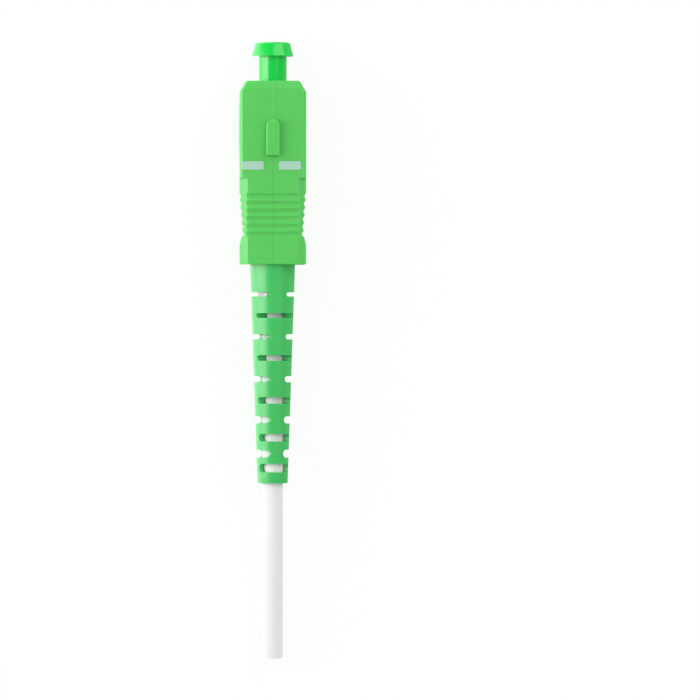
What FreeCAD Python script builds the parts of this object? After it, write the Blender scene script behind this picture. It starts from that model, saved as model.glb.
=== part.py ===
"""SC fibre connector with an angle-polished ferrule, on a simplex cable, with its dust cap on.

The connector lies along Y. The ferrule's end face is at the origin and looks towards +Y, the
key stands on the +Z side, and the cable leaves towards -Y. Lengths are millimetres. A "station"
is a distance behind the ferrule's end face, so station 5 is at y = -5.
"""

import FreeCAD
import Part
import math
import os
import Sketcher

# Each row is an alias, its value and what it measures.
SIZES = [
    # Outer housing: the push-pull grip, keyed on top.
    ("housing_width", 9.0, "across X"),
    ("housing_height", 7.4, "across Z, without the key"),
    ("housing_length", 24.8, "along Y"),
    ("ferrule_lead", 1.0, "ferrule tip in front of the housing"),
    ("long_edge_chamfer", 0.34, "on the four long edges of the fore part"),
    ("nose_bevel_width", 0.87, "front bevel of the side walls, across X"),
    ("nose_bevel_length", 1.55, "front bevel of the side walls, along Y"),
    ("face_bevel_height", 0.4, "front bevel of the top and bottom, across Z"),
    ("face_bevel_length", 0.9, "front bevel of the top and bottom, along Y"),
    ("grip_offset", 13.2, "housing front to the start of the grip"),
    ("grip_chamfer", 1.05, "on the four long edges of the grip"),
    ("groove_offset", 15.5, "housing front to the first grip groove"),
    ("groove_pitch", 1.035, "between grip grooves"),
    ("groove_count", 6, "grip grooves on each side"),
    ("groove_radius", 0.3, "round bottom of a grip groove"),
    ("groove_depth", 0.17, "grip groove below its surface"),
    ("waist_offset", 15.2, "housing front to where the sides start to draw in"),
    ("waist_length", 5.65, "over which the sides draw in"),
    ("waist_depth", 0.4, "how far each side draws in"),
    ("flare_length", 1.75, "over which the sides swell out again"),
    ("rear_edge_round", 0.3, "round of the rear outline"),
    ("side_wall", 0.65, "housing side wall"),
    ("face_wall", 0.75, "housing top and bottom wall"),
    ("window_offset", 3.0, "housing front to the side window"),
    ("window_length", 7.0, "side window along Y"),
    ("window_height", 3.7, "side window across Z"),
    ("key_offset", 5.2, "housing front to the key"),
    ("key_length", 4.9, "along Y, with its round front"),
    ("key_width", 1.8, "across X"),
    ("key_height", 0.85, "above the housing"),
    ("key_chamfer", 0.14, "on the key's top edges"),
    # Plug frame: carries the ferrule and latches into the adapter.
    ("frame_setback", 0.6, "plug frame behind the housing front"),
    ("frame_length", 18.2, "along Y"),
    ("frame_clearance", 0.05, "plug frame to housing wall, each side"),
    ("nose_width", 5.9, "slim front part across X"),
    ("nose_length", 8.6, "slim front part along Y"),
    ("frame_chamfer", 0.5, "on the long edges"),
    ("mouth_radius", 2.35, "front bore round the ferrule"),
    ("mouth_depth", 5.2, "front bore along Y"),
    ("seat_thickness", 0.8, "wall that the ferrule's collar rests on"),
    ("seat_hole", 1.6, "radius of the hole through that wall"),
    ("barrel_radius", 2.45, "rear bore"),
    ("hook_rise", 0.6, "latch wedge above the nose's side"),
    ("hook_offset", 4.0, "plug frame front to the latch wedge"),
    ("hook_ramp", 2.0, "sloping part of the latch wedge"),
    ("hook_land", 0.3, "flat top of the latch wedge"),
    ("hook_height", 3.2, "latch wedge across Z"),
    ("lug_rise", 0.25, "snap lug above the plug frame's face"),
    ("lug_width", 3.0, "snap lug across X"),
    ("lug_length", 1.4, "snap lug along Y"),
    ("lug_rear_gap", 1.0, "snap lug to the plug frame's rear"),
    ("lug_clearance", 0.06, "snap lug to its recess"),
    ("release_travel", 2.0, "how far the housing pulls back"),
    # Ferrule assembly: it floats on its spring.
    ("ferrule_radius", 1.25, "ceramic ferrule"),
    ("ferrule_length", 10.5, "along Y"),
    ("tip_radius", 0.7, "ferrule's end face"),
    ("tip_length", 0.9, "cone from the end face to the full radius"),
    ("tip_rim", 0.03, "least straight rim behind the end face"),
    ("end_face_angle", 8.0, "degrees, polished slope of the end face"),
    ("fibre_radius", 0.0625, "glass fibre"),
    ("fibre_clearance", 0.0005, "glass fibre to its bore"),
    ("bond_line", 0.01, "ferrule to its flange"),
    ("collar_radius", 2.3, "flange collar"),
    ("collar_length", 1.8, "along Y"),
    ("seat_clearance", 0.02, "collar to its seat"),
    ("sleeve_radius", 1.62, "flange round the ferrule's rear"),
    ("sleeve_length", 1.6, "behind the collar"),
    ("tail_radius", 1.3, "guide tube for the buffered fibre"),
    ("tail_length", 4.6, "along Y"),
    ("tail_bore", 0.5, "radius"),
    ("tuning_key_width", 0.8, "rib in the plug frame across Z"),
    ("tuning_key_rise", 0.25, "rib above the plug frame's bore"),
    ("tuning_key_clearance", 0.07, "rib to its notch in the collar"),
    ("ferrule_travel", 1.2, "how far the ferrule is pushed back"),
    ("spring_radius", 1.9, "to the middle of the wire"),
    ("spring_wire", 0.2, "wire radius"),
    ("spring_length", 6.5, "fitted length"),
    ("spring_turns", 6.5, "turns"),
    # Stop ring and crimp: the metal parts that hold the cable.
    ("ring_fit", 0.02, "stop ring to the plug frame's bore"),
    ("ring_bore", 1.65, "front bore, which clears the guide tube"),
    ("shoulder_radius", 2.9, "stop ring's shoulder"),
    ("shoulder_length", 1.2, "along Y"),
    ("crimp_post_radius", 1.7, "barrel under the crimp"),
    ("crimp_post_length", 6.4, "along Y"),
    ("crimp_post_bore", 0.8, "radius"),
    ("crimp_ridge", 0.1, "height of the barrel's ridges"),
    ("crimp_valley_count", 2, "grooves between the ridges"),
    ("crimp_gap", 0.6, "shoulder to the crimp sleeve"),
    ("crimp_wall", 0.3, "crimp sleeve"),
    ("crimp_large_radius", 2.2, "over the barrel, outside"),
    ("crimp_large_length", 6.2, "along Y"),
    ("crimp_cone_length", 0.6, "along Y"),
    ("crimp_small_length", 3.6, "over the jacket, along Y"),
    # Boot: slotted strain relief.
    ("boot_front_radius", 3.05, "at the housing's rear"),
    ("boot_end_radius", 2.05, "at the cable"),
    ("boot_exposed", 29.6, "boot behind the housing"),
    ("boot_turn", 17.3, "degrees about the cable"),
    ("boot_running_gap", 0.1, "boot to the housing's rear bore"),
    ("boot_sleeve_gap", 0.05, "boot to the crimp sleeve"),
    ("boot_step_gap", 0.3, "boot's steps behind the crimp sleeve's, along Y"),
    ("boot_bore", 1.68, "bore radius round the cable"),
    ("boot_bore_end", 1.55, "bore radius of the lip at the cable"),
    ("boot_lip", 0.7, "lip at the cable along Y"),
    ("slot_offset", 4.04, "housing rear to the first ring of slots"),
    ("slot_end_gap", 2.055, "middle of the last ring of slots to the boot's end"),
    ("slot_count", 10, "rings of slots, spread between those two"),
    ("slot_even_steps", 5, "first steps between rings that are equal"),
    ("slot_step_loss", 0.081, "share of a first step that each later step loses more of"),
    ("slot_height", 0.58, "first slot along Y"),
    ("slot_growth", 0.063, "each later slot is that much taller"),
    ("side_web", 1.215, "half the web that the first side slots leave"),
    ("side_web_shrink", 0.05, "for each later ring"),
    ("face_web", 1.215, "half the web that a first face slot would leave"),
    ("face_web_shrink", 0.053, "for each later ring"),
    # Cable: jacket, yarn, buffered fibre.
    ("jacket_radius", 1.4, "cable"),
    ("jacket_bore", 1.0, "radius"),
    ("yarn_clearance", 0.03, "yarn to what it lies on"),
    ("yarn_fold_wall", 0.12, "yarn folded over the barrel"),
    ("yarn_setback", 0.1, "folded yarn behind the crimp sleeve's front"),
    ("buffer_radius", 0.45, "buffered fibre"),
    ("buffer_gap", 0.3, "buffer to the bare fibre when the ferrule is pushed right back"),
    ("fibre_tail", 0.4, "bare fibre behind the ferrule"),
    ("jacket_gap", 0.3, "barrel to the jacket's cut end"),
    # Dust cap.
    ("cap_reach", 4.27, "top in front of the ferrule's end face"),
    ("cap_head_height", 1.88, "along Y"),
    ("cap_top_radius", 2.35, "small end of the head"),
    ("cap_rim_radius", 2.83, "large end of the head"),
    ("cap_top_chamfer", 0.15, "on the top edge"),
    ("cap_stem_radius", 1.9, "stem"),
    ("cap_depth", 5.3, "stem behind the ferrule's end face"),
    ("cap_air", 1.2, "free space in front of the ferrule"),
    ("cap_clearance", 0.02, "bore to the ferrule"),
]

# The cable's route behind the crimp, as (y, z) points: almost straight through the boot, then
# down by its own weight until the cut end lies on the surface that the connector rests on.
CABLE_ROUTE = [(-44.0, 0.0), (-61.8, -0.12), (-79.1, -2.28)]
BEND_SHARE = 0.45
CUT_MARGIN = 1.0
CHORDS_PER_TURN = 9
WIRE_SIDES = 6


class Size:
    """A number together with the sheet formula that gives it."""

    def __init__(self, value, formula=None):
        self.value = value
        self.formula = formula or repr(float(value))

    def __add__(self, other):
        other = as_size(other)
        return Size(self.value + other.value, f"({self.formula} + {other.formula})")

    def __sub__(self, other):
        other = as_size(other)
        return Size(self.value - other.value, f"({self.formula} - {other.formula})")

    def __mul__(self, other):
        other = as_size(other)
        return Size(self.value * other.value, f"({self.formula} * {other.formula})")

    def __truediv__(self, other):
        other = as_size(other)
        return Size(self.value / other.value, f"({self.formula} / {other.formula})")

    def __neg__(self):
        return Size(-self.value, f"(0 - {self.formula})")

    def __rsub__(self, other):
        return as_size(other) - self

    __radd__ = __add__
    __rmul__ = __mul__


def as_size(number):
    return number if isinstance(number, Size) else Size(number)


doc = FreeCAD.newDocument("sc_fibre_connector")
sheet = doc.addObject("Spreadsheet::Sheet", "sizes")
size = {}
for row, (alias, value, meaning) in enumerate(SIZES, start=1):
    sheet.set(f"A{row}", alias)
    sheet.set(f"B{row}", str(value))
    sheet.set(f"C{row}", meaning)
    sheet.setAlias(f"B{row}", alias)
    size[alias] = Size(value, f"sizes.{alias}")
doc.recompute()


# Places that more than one piece shares, as stations behind the ferrule's end face.
half_width = size["housing_width"] / 2
half_height = size["housing_height"] / 2
housing_front = size["ferrule_lead"]
housing_rear = housing_front + size["housing_length"]
cavity_half_width = half_width - size["side_wall"]
cavity_half_height = half_height - size["face_wall"]

frame_front = housing_front + size["frame_setback"]
frame_rear = frame_front + size["frame_length"]
frame_half_width = cavity_half_width - size["frame_clearance"]
frame_half_height = cavity_half_height - size["frame_clearance"]
nose_half_width = size["nose_width"] / 2
nose_rear = frame_front + size["nose_length"]
seat_front = frame_front + size["mouth_depth"]
seat_rear = seat_front + size["seat_thickness"]
lug_rear = frame_rear - size["lug_rear_gap"]
lug_front = lug_rear - size["lug_length"]

collar_front = seat_rear + size["seat_clearance"]
collar_rear = collar_front + size["collar_length"]
sleeve_rear = collar_rear + size["sleeve_length"]
tail_rear = sleeve_rear + size["tail_length"]
ferrule_rear = size["ferrule_length"]
fibre_rear = ferrule_rear + size["fibre_tail"]
ferrule_seat = size["ferrule_radius"] + size["bond_line"]
key_floor = size["barrel_radius"] - size["tuning_key_rise"]

polish_slope = Size(
    math.tan(math.radians(size["end_face_angle"].value)),
    f"tan({size['end_face_angle'].formula} * 1 deg)",
)
tip_edge = polish_slope * size["tip_radius"]
tip_blank = -(tip_edge + CUT_MARGIN)

spring_rear = collar_rear + size["spring_length"]
shoulder_front = frame_rear
shoulder_rear = shoulder_front + size["shoulder_length"]
crimp_post_rear = shoulder_rear + size["crimp_post_length"]
crimp_front = shoulder_rear + size["crimp_gap"]
crimp_large_rear = crimp_front + size["crimp_large_length"]
crimp_small_front = crimp_large_rear + size["crimp_cone_length"]
crimp_rear = crimp_small_front + size["crimp_small_length"]
crimp_small_bore = size["jacket_radius"] + size["boot_sleeve_gap"]
crimp_small_radius = crimp_small_bore + size["crimp_wall"]
crimp_large_bore = size["crimp_large_radius"] - size["crimp_wall"]

boot_front = shoulder_rear
boot_rear = housing_rear + size["boot_exposed"]
boot_bore_front = size["crimp_large_radius"] + size["boot_sleeve_gap"]
boot_bore_neck = crimp_small_radius + size["boot_sleeve_gap"]
jacket_front = crimp_post_rear + size["jacket_gap"]


def bind(item, prop, value):
    """Ties one property of a feature to the sheet."""
    item.setExpression(prop, value.formula)


def origin_plane(body, role):
    return next(item for item in body.Origin.OriginFeatures if item.Role == role)


def new_body(label):
    body = doc.addObject("PartDesign::Body", label)
    body.Label = label
    return body


def new_sketch(body, name, role, offset=None):
    """A sketch on an origin plane: XY_Plane seen from above, YZ_Plane from the side with Y to
    the right, or XZ_Plane across the axis, where the offset is a station."""
    sketch = body.newObject("Sketcher::SketchObject", name)
    sketch.AttachmentSupport = (origin_plane(body, role), [""])
    sketch.MapMode = "FlatFace"
    if offset is not None:
        bind(sketch, "AttachmentOffset.Base.z", offset)
    return sketch


def hold_point(sketch, edge, end, x, y):
    """Places one point of a sketch by two dimensions from the sketch's origin."""
    for kind, value, axis in (("DistanceX", x, -2), ("DistanceY", y, -1)):
        if value is None:
            continue
        if value.value == 0:
            sketch.addConstraint(Sketcher.Constraint("PointOnObject", edge, end, axis))
            continue
        number = sketch.addConstraint(Sketcher.Constraint(kind, -1, 1, edge, end, value.value))
        name = f"{kind}_{edge}_{end}"
        sketch.renameConstraint(number, name)
        bind(sketch, f"Constraints.{name}", value)


def arc_between(start, stop, centre, clockwise):
    """The arc from start to stop round a centre, in one sense of turning."""
    radius = (start - centre).Length
    first = math.atan2(start.y - centre.y, start.x - centre.x)
    last = math.atan2(stop.y - centre.y, stop.x - centre.x)
    turn = (last - first) % (2 * math.pi)
    if clockwise:
        turn -= 2 * math.pi
    middle = first + turn / 2
    halfway = centre + FreeCAD.Vector(math.cos(middle), math.sin(middle), 0) * radius
    return Part.Arc(start, halfway, stop)


def add_outline(sketch, corners):
    """Draws a closed outline. A corner is (x, y), or (x, y, centre_x, centre_y, clockwise)
    where an arc leads from it to the next corner."""
    corners = [tuple(as_size(v) for v in c[:4]) + tuple(c[4:]) for c in corners]
    points = [FreeCAD.Vector(c[0].value, c[1].value, 0) for c in corners]
    count = len(corners)
    first = sketch.GeometryCount
    for i, corner in enumerate(corners):
        stop = points[(i + 1) % count]
        if len(corner) == 2:
            sketch.addGeometry(Part.LineSegment(points[i], stop), False)
            continue
        centre = FreeCAD.Vector(corner[2].value, corner[3].value, 0)
        sketch.addGeometry(arc_between(points[i], stop, centre, corner[4]), False)

    def end_at(edge, point):
        near_start = (sketch.getPoint(edge, 1) - point).Length
        near_stop = (sketch.getPoint(edge, 2) - point).Length
        return 1 if near_start <= near_stop else 2

    for i in range(count):
        edge = first + i
        following = first + (i + 1) % count
        joint = points[(i + 1) % count]
        sketch.addConstraint(
            Sketcher.Constraint(
                "Coincident", edge, end_at(edge, joint), following, end_at(following, joint)
            )
        )
    for i, corner in enumerate(corners):
        edge = first + i
        hold_point(sketch, edge, end_at(edge, points[i]), corner[0], corner[1])
        if len(corner) > 2:
            chord = points[(i + 1) % count] - points[i]
            upright = abs(chord.y) > abs(chord.x)
            hold_point(
                sketch, edge, 3, corner[2] if upright else None, None if upright else corner[3]
            )


def add_circle(sketch, x, y, radius):
    x, y = as_size(x), as_size(y)
    centre = FreeCAD.Vector(x.value, y.value, 0)
    upward = FreeCAD.Vector(0, 0, 1)
    edge = sketch.addGeometry(Part.Circle(centre, upward, radius.value), False)
    hold_point(sketch, edge, 3, x, y)
    number = sketch.addConstraint(Sketcher.Constraint("Radius", edge, radius.value))
    sketch.renameConstraint(number, f"Radius_{edge}")
    bind(sketch, f"Constraints.Radius_{edge}", radius)


def add_rectangle(sketch, x0, y0, x1, y1):
    add_outline(sketch, [(x0, y0), (x1, y0), (x1, y1), (x0, y1)])


def add_octagon(sketch, half_x, half_y, chamfer):
    """A rectangle about the origin with equal corner chamfers."""
    inner_x = half_x - chamfer
    inner_y = half_y - chamfer
    add_outline(
        sketch,
        [
            (-inner_x, -half_y),
            (inner_x, -half_y),
            (half_x, -inner_y),
            (half_x, inner_y),
            (inner_x, half_y),
            (-inner_x, half_y),
            (-half_x, inner_y),
            (-half_x, -inner_y),
        ],
    )


def pad(body, name, sketch, length, symmetric=False):
    feature = body.newObject("PartDesign::Pad", name)
    feature.Profile = sketch
    feature.SideType = "Symmetric" if symmetric else "One side"
    bind(feature, "Length", length)
    doc.recompute()
    return feature


def cut(body, name, sketch, length=None, symmetric=True, reverse=False):
    """Pockets a sketch, through everything where no length is given, and makes sure that it
    took something away."""
    before = body.Shape.Volume
    feature = body.newObject("PartDesign::Pocket", name)
    feature.Profile = sketch
    feature.SideType = "Symmetric" if symmetric else "One side"
    feature.Reversed = reverse
    if length is None:
        feature.Type = "ThroughAll"
    else:
        bind(feature, "Length", length)
    doc.recompute()
    if body.Shape.Volume >= before:
        raise RuntimeError(f"{body.Label}: {name} cuts nothing")
    return feature


def turn(body, name, corners):
    """Revolves an outline, given as (radius, station) corners, about the connector's axis."""
    sketch = new_sketch(body, f"{name}_profile", "XY_Plane")
    add_outline(sketch, [(as_size(radius), -as_size(station)) for radius, station in corners])
    feature = body.newObject("PartDesign::Revolution", name)
    feature.Profile = sketch
    feature.ReferenceAxis = (sketch, ["V_Axis"])
    feature.Angle = 360
    doc.recompute()
    return feature


def bore(body, name, corners):
    """Cuts a revolved outline, given as (radius, station) corners, out of a body."""
    before = body.Shape.Volume
    sketch = new_sketch(body, f"{name}_profile", "XY_Plane")
    add_outline(sketch, [(as_size(radius), -as_size(station)) for radius, station in corners])
    feature = body.newObject("PartDesign::Groove", name)
    feature.Profile = sketch
    feature.ReferenceAxis = (sketch, ["V_Axis"])
    feature.Angle = 360
    doc.recompute()
    if body.Shape.Volume >= before:
        raise RuntimeError(f"{body.Label}: {name} cuts nothing")
    return feature


def dress(body, kind, name, amount, chosen):
    """Rounds or chamfers the edges of which every vertex passes the test."""
    base = body.Tip
    names = [
        f"Edge{i}"
        for i, edge in enumerate(base.Shape.Edges, start=1)
        if all(chosen(vertex.Point) for vertex in edge.Vertexes)
    ]
    feature = body.newObject(f"PartDesign::{kind}", name)
    feature.Base = (base, names)
    bind(feature, "Radius" if kind == "Fillet" else "Size", amount)
    doc.recompute()
    return feature


def new_feature(label, shape):
    feature = doc.addObject("Part::Feature", label)
    feature.Label = label
    feature.Shape = shape
    feature.Placement = FreeCAD.Placement()
    return feature


def at(value, target):
    """Whether two lengths agree."""
    return abs(value - target.value) < 1e-5


def both_sides(corners):
    """The corners of an outline on the +X side, and the same outline on the -X side."""
    return corners, [(-as_size(corner[0]), *corner[1:]) for corner in corners]


def add_end_bevels(body, name, role, half_across, width, length, swap):
    """Bevels the front of two opposite walls, seen on an origin plane."""
    sketch = new_sketch(body, f"{name}_profile", role)
    outside = half_across + CUT_MARGIN
    ahead = -housing_front + CUT_MARGIN
    bevel_end = -(housing_front + length)
    corners = [
        (half_across - width, -housing_front),
        (half_across, bevel_end),
        (outside, bevel_end),
        (outside, ahead),
        (half_across - width, ahead),
    ]
    for side in both_sides(corners):
        add_outline(sketch, [(c[1], c[0]) if swap else c for c in side])
    cut(body, name, sketch)


def build_outer_housing():
    body = new_body("outer_housing")
    grip_front = housing_front + size["grip_offset"]

    fore = new_sketch(body, "fore_section", "XZ_Plane", housing_front)
    add_octagon(fore, half_width, half_height, size["long_edge_chamfer"])
    pad(body, "fore_part", fore, size["grip_offset"])
    grip = new_sketch(body, "grip_section", "XZ_Plane", grip_front)
    add_octagon(grip, half_width, half_height, size["grip_chamfer"])
    pad(body, "grip_part", grip, size["housing_length"] - size["grip_offset"])

    dress(
        body,
        "Fillet",
        "rear_outline_round",
        size["rear_edge_round"],
        lambda point: at(point.y, -housing_rear),
    )
    add_end_bevels(
        body, "side_bevels", "XY_Plane",
        half_width, size["nose_bevel_width"], size["nose_bevel_length"], False,
    )
    add_end_bevels(
        body, "face_bevels", "YZ_Plane",
        half_height, size["face_bevel_height"], size["face_bevel_length"], True,
    )
    cut_waist(body)
    cut_grip_grooves(body)
    cut_housing_cavity(body)

    windows = new_sketch(body, "window_outline", "YZ_Plane")
    window_front = housing_front + size["window_offset"]
    window_rear = window_front + size["window_length"]
    window_half = size["window_height"] / 2
    add_rectangle(windows, -window_rear, -window_half, -window_front, window_half)
    cut(body, "side_windows", windows)

    add_key(body)
    return body


def cut_waist(body):
    """The sides draw in along a straight line and swell out again on a round, tangent to the
    housing's side."""
    start = housing_front + size["waist_offset"]
    narrowest = start + size["waist_length"]
    swell_end = narrowest + size["flare_length"]
    waist = half_width - size["waist_depth"]
    run = size["flare_length"]
    rise = size["waist_depth"]
    swell_radius = (run * run + rise * rise) / (rise * 2)
    outside = half_width + CUT_MARGIN
    centre_x = half_width - swell_radius
    sketch = new_sketch(body, "waist_outline", "XY_Plane")
    right = [
        (half_width, -start),
        (waist, -narrowest, centre_x, -swell_end, True),
        (half_width, -swell_end),
        (outside, -swell_end),
        (outside, -start),
    ]
    left = [(-c[0], c[1]) if len(c) == 2 else (-c[0], c[1], -c[2], c[3], False) for c in right]
    add_outline(sketch, right)
    add_outline(sketch, left)
    cut(body, "waist", sketch)


def cut_grip_grooves(body):
    """Round-bottomed grooves cross the top and bottom and scallop the waisted sides."""
    faces = new_sketch(body, "face_groove_circles", "YZ_Plane")
    sides = new_sketch(body, "side_groove_circles", "XY_Plane")
    radius = size["groove_radius"]
    lift = radius - size["groove_depth"]
    for k in range(int(size["groove_count"].value)):
        offset = size["groove_offset"] + size["groove_pitch"] * k
        y = -(housing_front + offset)
        drawn_in = size["waist_depth"] * (offset - size["waist_offset"]) / size["waist_length"]
        for sign in (1, -1):
            add_circle(faces, y, (half_height + lift) * sign, radius)
            add_circle(sides, (half_width - drawn_in + lift) * sign, y, radius)
    cut(body, "face_grooves", faces)
    cut(body, "side_grooves", sides)


def cut_housing_cavity(body):
    """A rectangular cavity takes the plug frame, a round bore behind it clears the boot over
    the release travel, and two recesses hold the snap lugs."""
    cavity_rear = frame_rear + size["frame_clearance"]
    cavity = new_sketch(body, "cavity_section", "XZ_Plane", housing_front)
    add_rectangle(
        cavity, -cavity_half_width, -cavity_half_height, cavity_half_width, cavity_half_height
    )
    cut(body, "cavity", cavity, cavity_rear - housing_front, symmetric=False, reverse=True)

    clear_front = boot_front - size["release_travel"] - size["boot_running_gap"]
    clear_radius = size["boot_front_radius"] + size["boot_running_gap"]
    behind = housing_rear + CUT_MARGIN
    corners = [(0, clear_front), (clear_radius, clear_front), (clear_radius, behind), (0, behind)]
    bore(body, "boot_bore", corners)

    recess = new_sketch(body, "recess_outline", "XY_Plane")
    half = size["lug_width"] / 2 + size["lug_clearance"]
    recess_front = lug_front - size["release_travel"] - size["lug_clearance"]
    recess_rear = lug_rear + size["lug_clearance"]
    add_rectangle(recess, -half, -recess_rear, half, -recess_front)
    recess_half_height = frame_half_height + size["lug_rise"] + size["lug_clearance"]
    cut(body, "lug_recesses", recess, recess_half_height * 2)


def add_key(body):
    sketch = new_sketch(body, "key_outline", "XY_Plane", half_height)
    half = size["key_width"] / 2
    front = housing_front + size["key_offset"]
    rear = front + size["key_length"]
    round_centre = front + half
    add_outline(
        sketch,
        [
            (-half, -rear),
            (half, -rear),
            (half, -round_centre, 0, -round_centre, False),
            (-half, -round_centre),
        ],
    )
    pad(body, "key", sketch, size["key_height"])
    key_top = half_height + size["key_height"]
    dress(body, "Chamfer", "key_edge", size["key_chamfer"], lambda point: at(point.z, key_top))


def build_plug_frame():
    body = new_body("plug_frame")
    nose = new_sketch(body, "nose_section", "XZ_Plane", frame_front)
    add_octagon(nose, nose_half_width, frame_half_height, size["frame_chamfer"])
    pad(body, "nose", nose, size["nose_length"])
    rear = new_sketch(body, "rear_section", "XZ_Plane", nose_rear)
    add_octagon(rear, frame_half_width, frame_half_height, size["frame_chamfer"])
    pad(body, "rear_part", rear, size["frame_length"] - size["nose_length"])

    hooks = new_sketch(body, "hook_outline", "XY_Plane")
    hook_front = frame_front + size["hook_offset"]
    land_front = hook_front + size["hook_ramp"]
    land_rear = land_front + size["hook_land"]
    root = nose_half_width - size["frame_chamfer"]
    crest = nose_half_width + size["hook_rise"]
    ramp = [
        (root, -hook_front),
        (nose_half_width, -hook_front),
        (crest, -land_front),
        (crest, -land_rear),
        (root, -land_rear),
    ]
    for side in both_sides(ramp):
        add_outline(hooks, side)
    pad(body, "latch_wedges", hooks, size["hook_height"], symmetric=True)

    lugs = new_sketch(body, "lug_outline", "YZ_Plane")
    lug_root = frame_half_height - size["frame_chamfer"]
    lug_crest = frame_half_height + size["lug_rise"]
    lug_ramp = size["lug_length"] / 2
    for sign in (1, -1):
        add_outline(
            lugs,
            [
                (-lug_front, lug_root * sign),
                (-lug_front, frame_half_height * sign),
                (-(lug_front + lug_ramp), lug_crest * sign),
                (-lug_rear, lug_crest * sign),
                (-lug_rear, lug_root * sign),
            ],
        )
    pad(body, "snap_lugs", lugs, size["lug_width"], symmetric=True)

    ahead = frame_front - CUT_MARGIN
    behind = frame_rear + CUT_MARGIN
    bore(
        body,
        "stepped_bore",
        [
            (0, ahead),
            (size["mouth_radius"], ahead),
            (size["mouth_radius"], seat_front),
            (size["seat_hole"], seat_front),
            (size["seat_hole"], seat_rear),
            (size["barrel_radius"], seat_rear),
            (size["barrel_radius"], behind),
            (0, behind),
        ],
    )
    ribs = new_sketch(body, "tuning_key_outline", "XY_Plane")
    rib_rear = collar_rear + size["ferrule_travel"]
    rib_root = size["barrel_radius"] + size["tuning_key_rise"]
    for sign in (1, -1):
        add_rectangle(ribs, key_floor * sign, -rib_rear, rib_root * sign, -seat_rear)
    pad(body, "tuning_keys", ribs, size["tuning_key_width"], symmetric=True)
    return body


def slope_end_face(body):
    """Cuts the front at the polishing angle, so that the end face leans towards the key."""
    reach = size["ferrule_radius"] + CUT_MARGIN
    ahead = -tip_blank + CUT_MARGIN
    sketch = new_sketch(body, "end_face_slope", "YZ_Plane")
    add_outline(
        sketch,
        [
            (polish_slope * -reach, reach),
            (polish_slope * reach, -reach),
            (ahead, -reach),
            (ahead, reach),
        ],
    )
    cut(body, "end_face", sketch)


def build_ferrule():
    body = new_body("ferrule")
    radius = size["ferrule_radius"]
    hole = size["fibre_radius"] + size["fibre_clearance"]
    turn(
        body,
        "blank",
        [
            (hole, tip_blank),
            (size["tip_radius"], tip_blank),
            (size["tip_radius"], tip_edge + size["tip_rim"]),
            (radius, size["tip_length"]),
            (radius, ferrule_rear),
            (hole, ferrule_rear),
        ],
    )
    slope_end_face(body)
    return body


def build_glass_fibre():
    body = new_body("glass_fibre")
    radius = size["fibre_radius"]
    corners = [(0, tip_blank), (radius, tip_blank), (radius, fibre_rear), (0, fibre_rear)]
    turn(body, "strand", corners)
    slope_end_face(body)
    return body


def build_ferrule_flange():
    body = new_body("ferrule_flange")
    pocket_rear = ferrule_rear + size["seat_clearance"]
    turn(
        body,
        "turned_blank",
        [
            (ferrule_seat, collar_front),
            (size["collar_radius"], collar_front),
            (size["collar_radius"], collar_rear),
            (size["sleeve_radius"], collar_rear),
            (size["sleeve_radius"], sleeve_rear),
            (size["tail_radius"], sleeve_rear + (size["sleeve_radius"] - size["tail_radius"])),
            (size["tail_radius"], tail_rear),
            (size["tail_bore"], tail_rear),
            (size["tail_bore"], pocket_rear),
            (ferrule_seat, pocket_rear),
        ],
    )
    notches = new_sketch(body, "notch_outline", "XZ_Plane", collar_front)
    half = size["tuning_key_width"] / 2 + size["tuning_key_clearance"]
    floor = key_floor - size["tuning_key_clearance"]
    outside = size["collar_radius"] + CUT_MARGIN
    for sign in (1, -1):
        add_rectangle(notches, floor * sign, -half, outside * sign, half)
    cut(
        body, "tuning_notches", notches, size["collar_length"], symmetric=False, reverse=True
    )
    return body


def build_ferrule_spring():
    """A compression spring, wound in short straight chords."""
    wire = size["spring_wire"].value
    radius = size["spring_radius"].value
    turns = size["spring_turns"].value
    climb = size["spring_length"].value - 2 * wire
    chords = int(turns * CHORDS_PER_TURN)
    points = []
    for i in range(chords + 1):
        share = i / chords
        angle = 2 * math.pi * turns * share
        station = collar_rear.value + wire + climb * share
        points.append(
            FreeCAD.Vector(radius * math.cos(angle), -station, radius * math.sin(angle))
        )
    heading = (points[1] - points[0]).normalize()
    outward = FreeCAD.Vector(1, 0, 0)
    outward = (outward - heading * outward.dot(heading)).normalize()
    across = heading.cross(outward)
    section = []
    for i in range(WIRE_SIDES + 1):
        angle = 2 * math.pi * (i + 0.5) / WIRE_SIDES
        section.append(points[0] + (outward * math.cos(angle) + across * math.sin(angle)) * wire)
    path = Part.makePolygon(points)
    coil = path.makePipeShell([Part.makePolygon(section)], True, False, 1)
    return new_feature("ferrule_spring", coil)


def build_stop_ring():
    """The ring closes the plug frame, backs the spring and carries the ridged crimp post."""
    body = new_body("stop_ring")
    post = size["crimp_post_radius"]
    fit_radius = size["barrel_radius"] - size["ring_fit"]
    turn(
        body,
        "turned_blank",
        [
            (size["ring_bore"], spring_rear),
            (fit_radius, spring_rear),
            (fit_radius, shoulder_front),
            (size["shoulder_radius"], shoulder_front),
            (size["shoulder_radius"], shoulder_rear),
            (post, shoulder_rear),
            (post, crimp_post_rear),
            (size["crimp_post_bore"], crimp_post_rear),
            (size["crimp_post_bore"], shoulder_front),
            (size["ring_bore"], shoulder_front),
        ],
    )
    valley_count = int(size["crimp_valley_count"].value)
    valley = post - size["crimp_ridge"]
    ridge_pitch = (crimp_post_rear - crimp_front) / (valley_count + 1)
    for k in range(valley_count):
        middle = crimp_front + ridge_pitch * (k + 1)
        half = ridge_pitch / 4
        bore(
            body,
            f"crimp_valley_{k + 1}",
            [
                (valley, middle - half),
                (post + CUT_MARGIN, middle - half),
                (post + CUT_MARGIN, middle + half),
                (valley, middle + half),
            ],
        )
    return body


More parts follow.
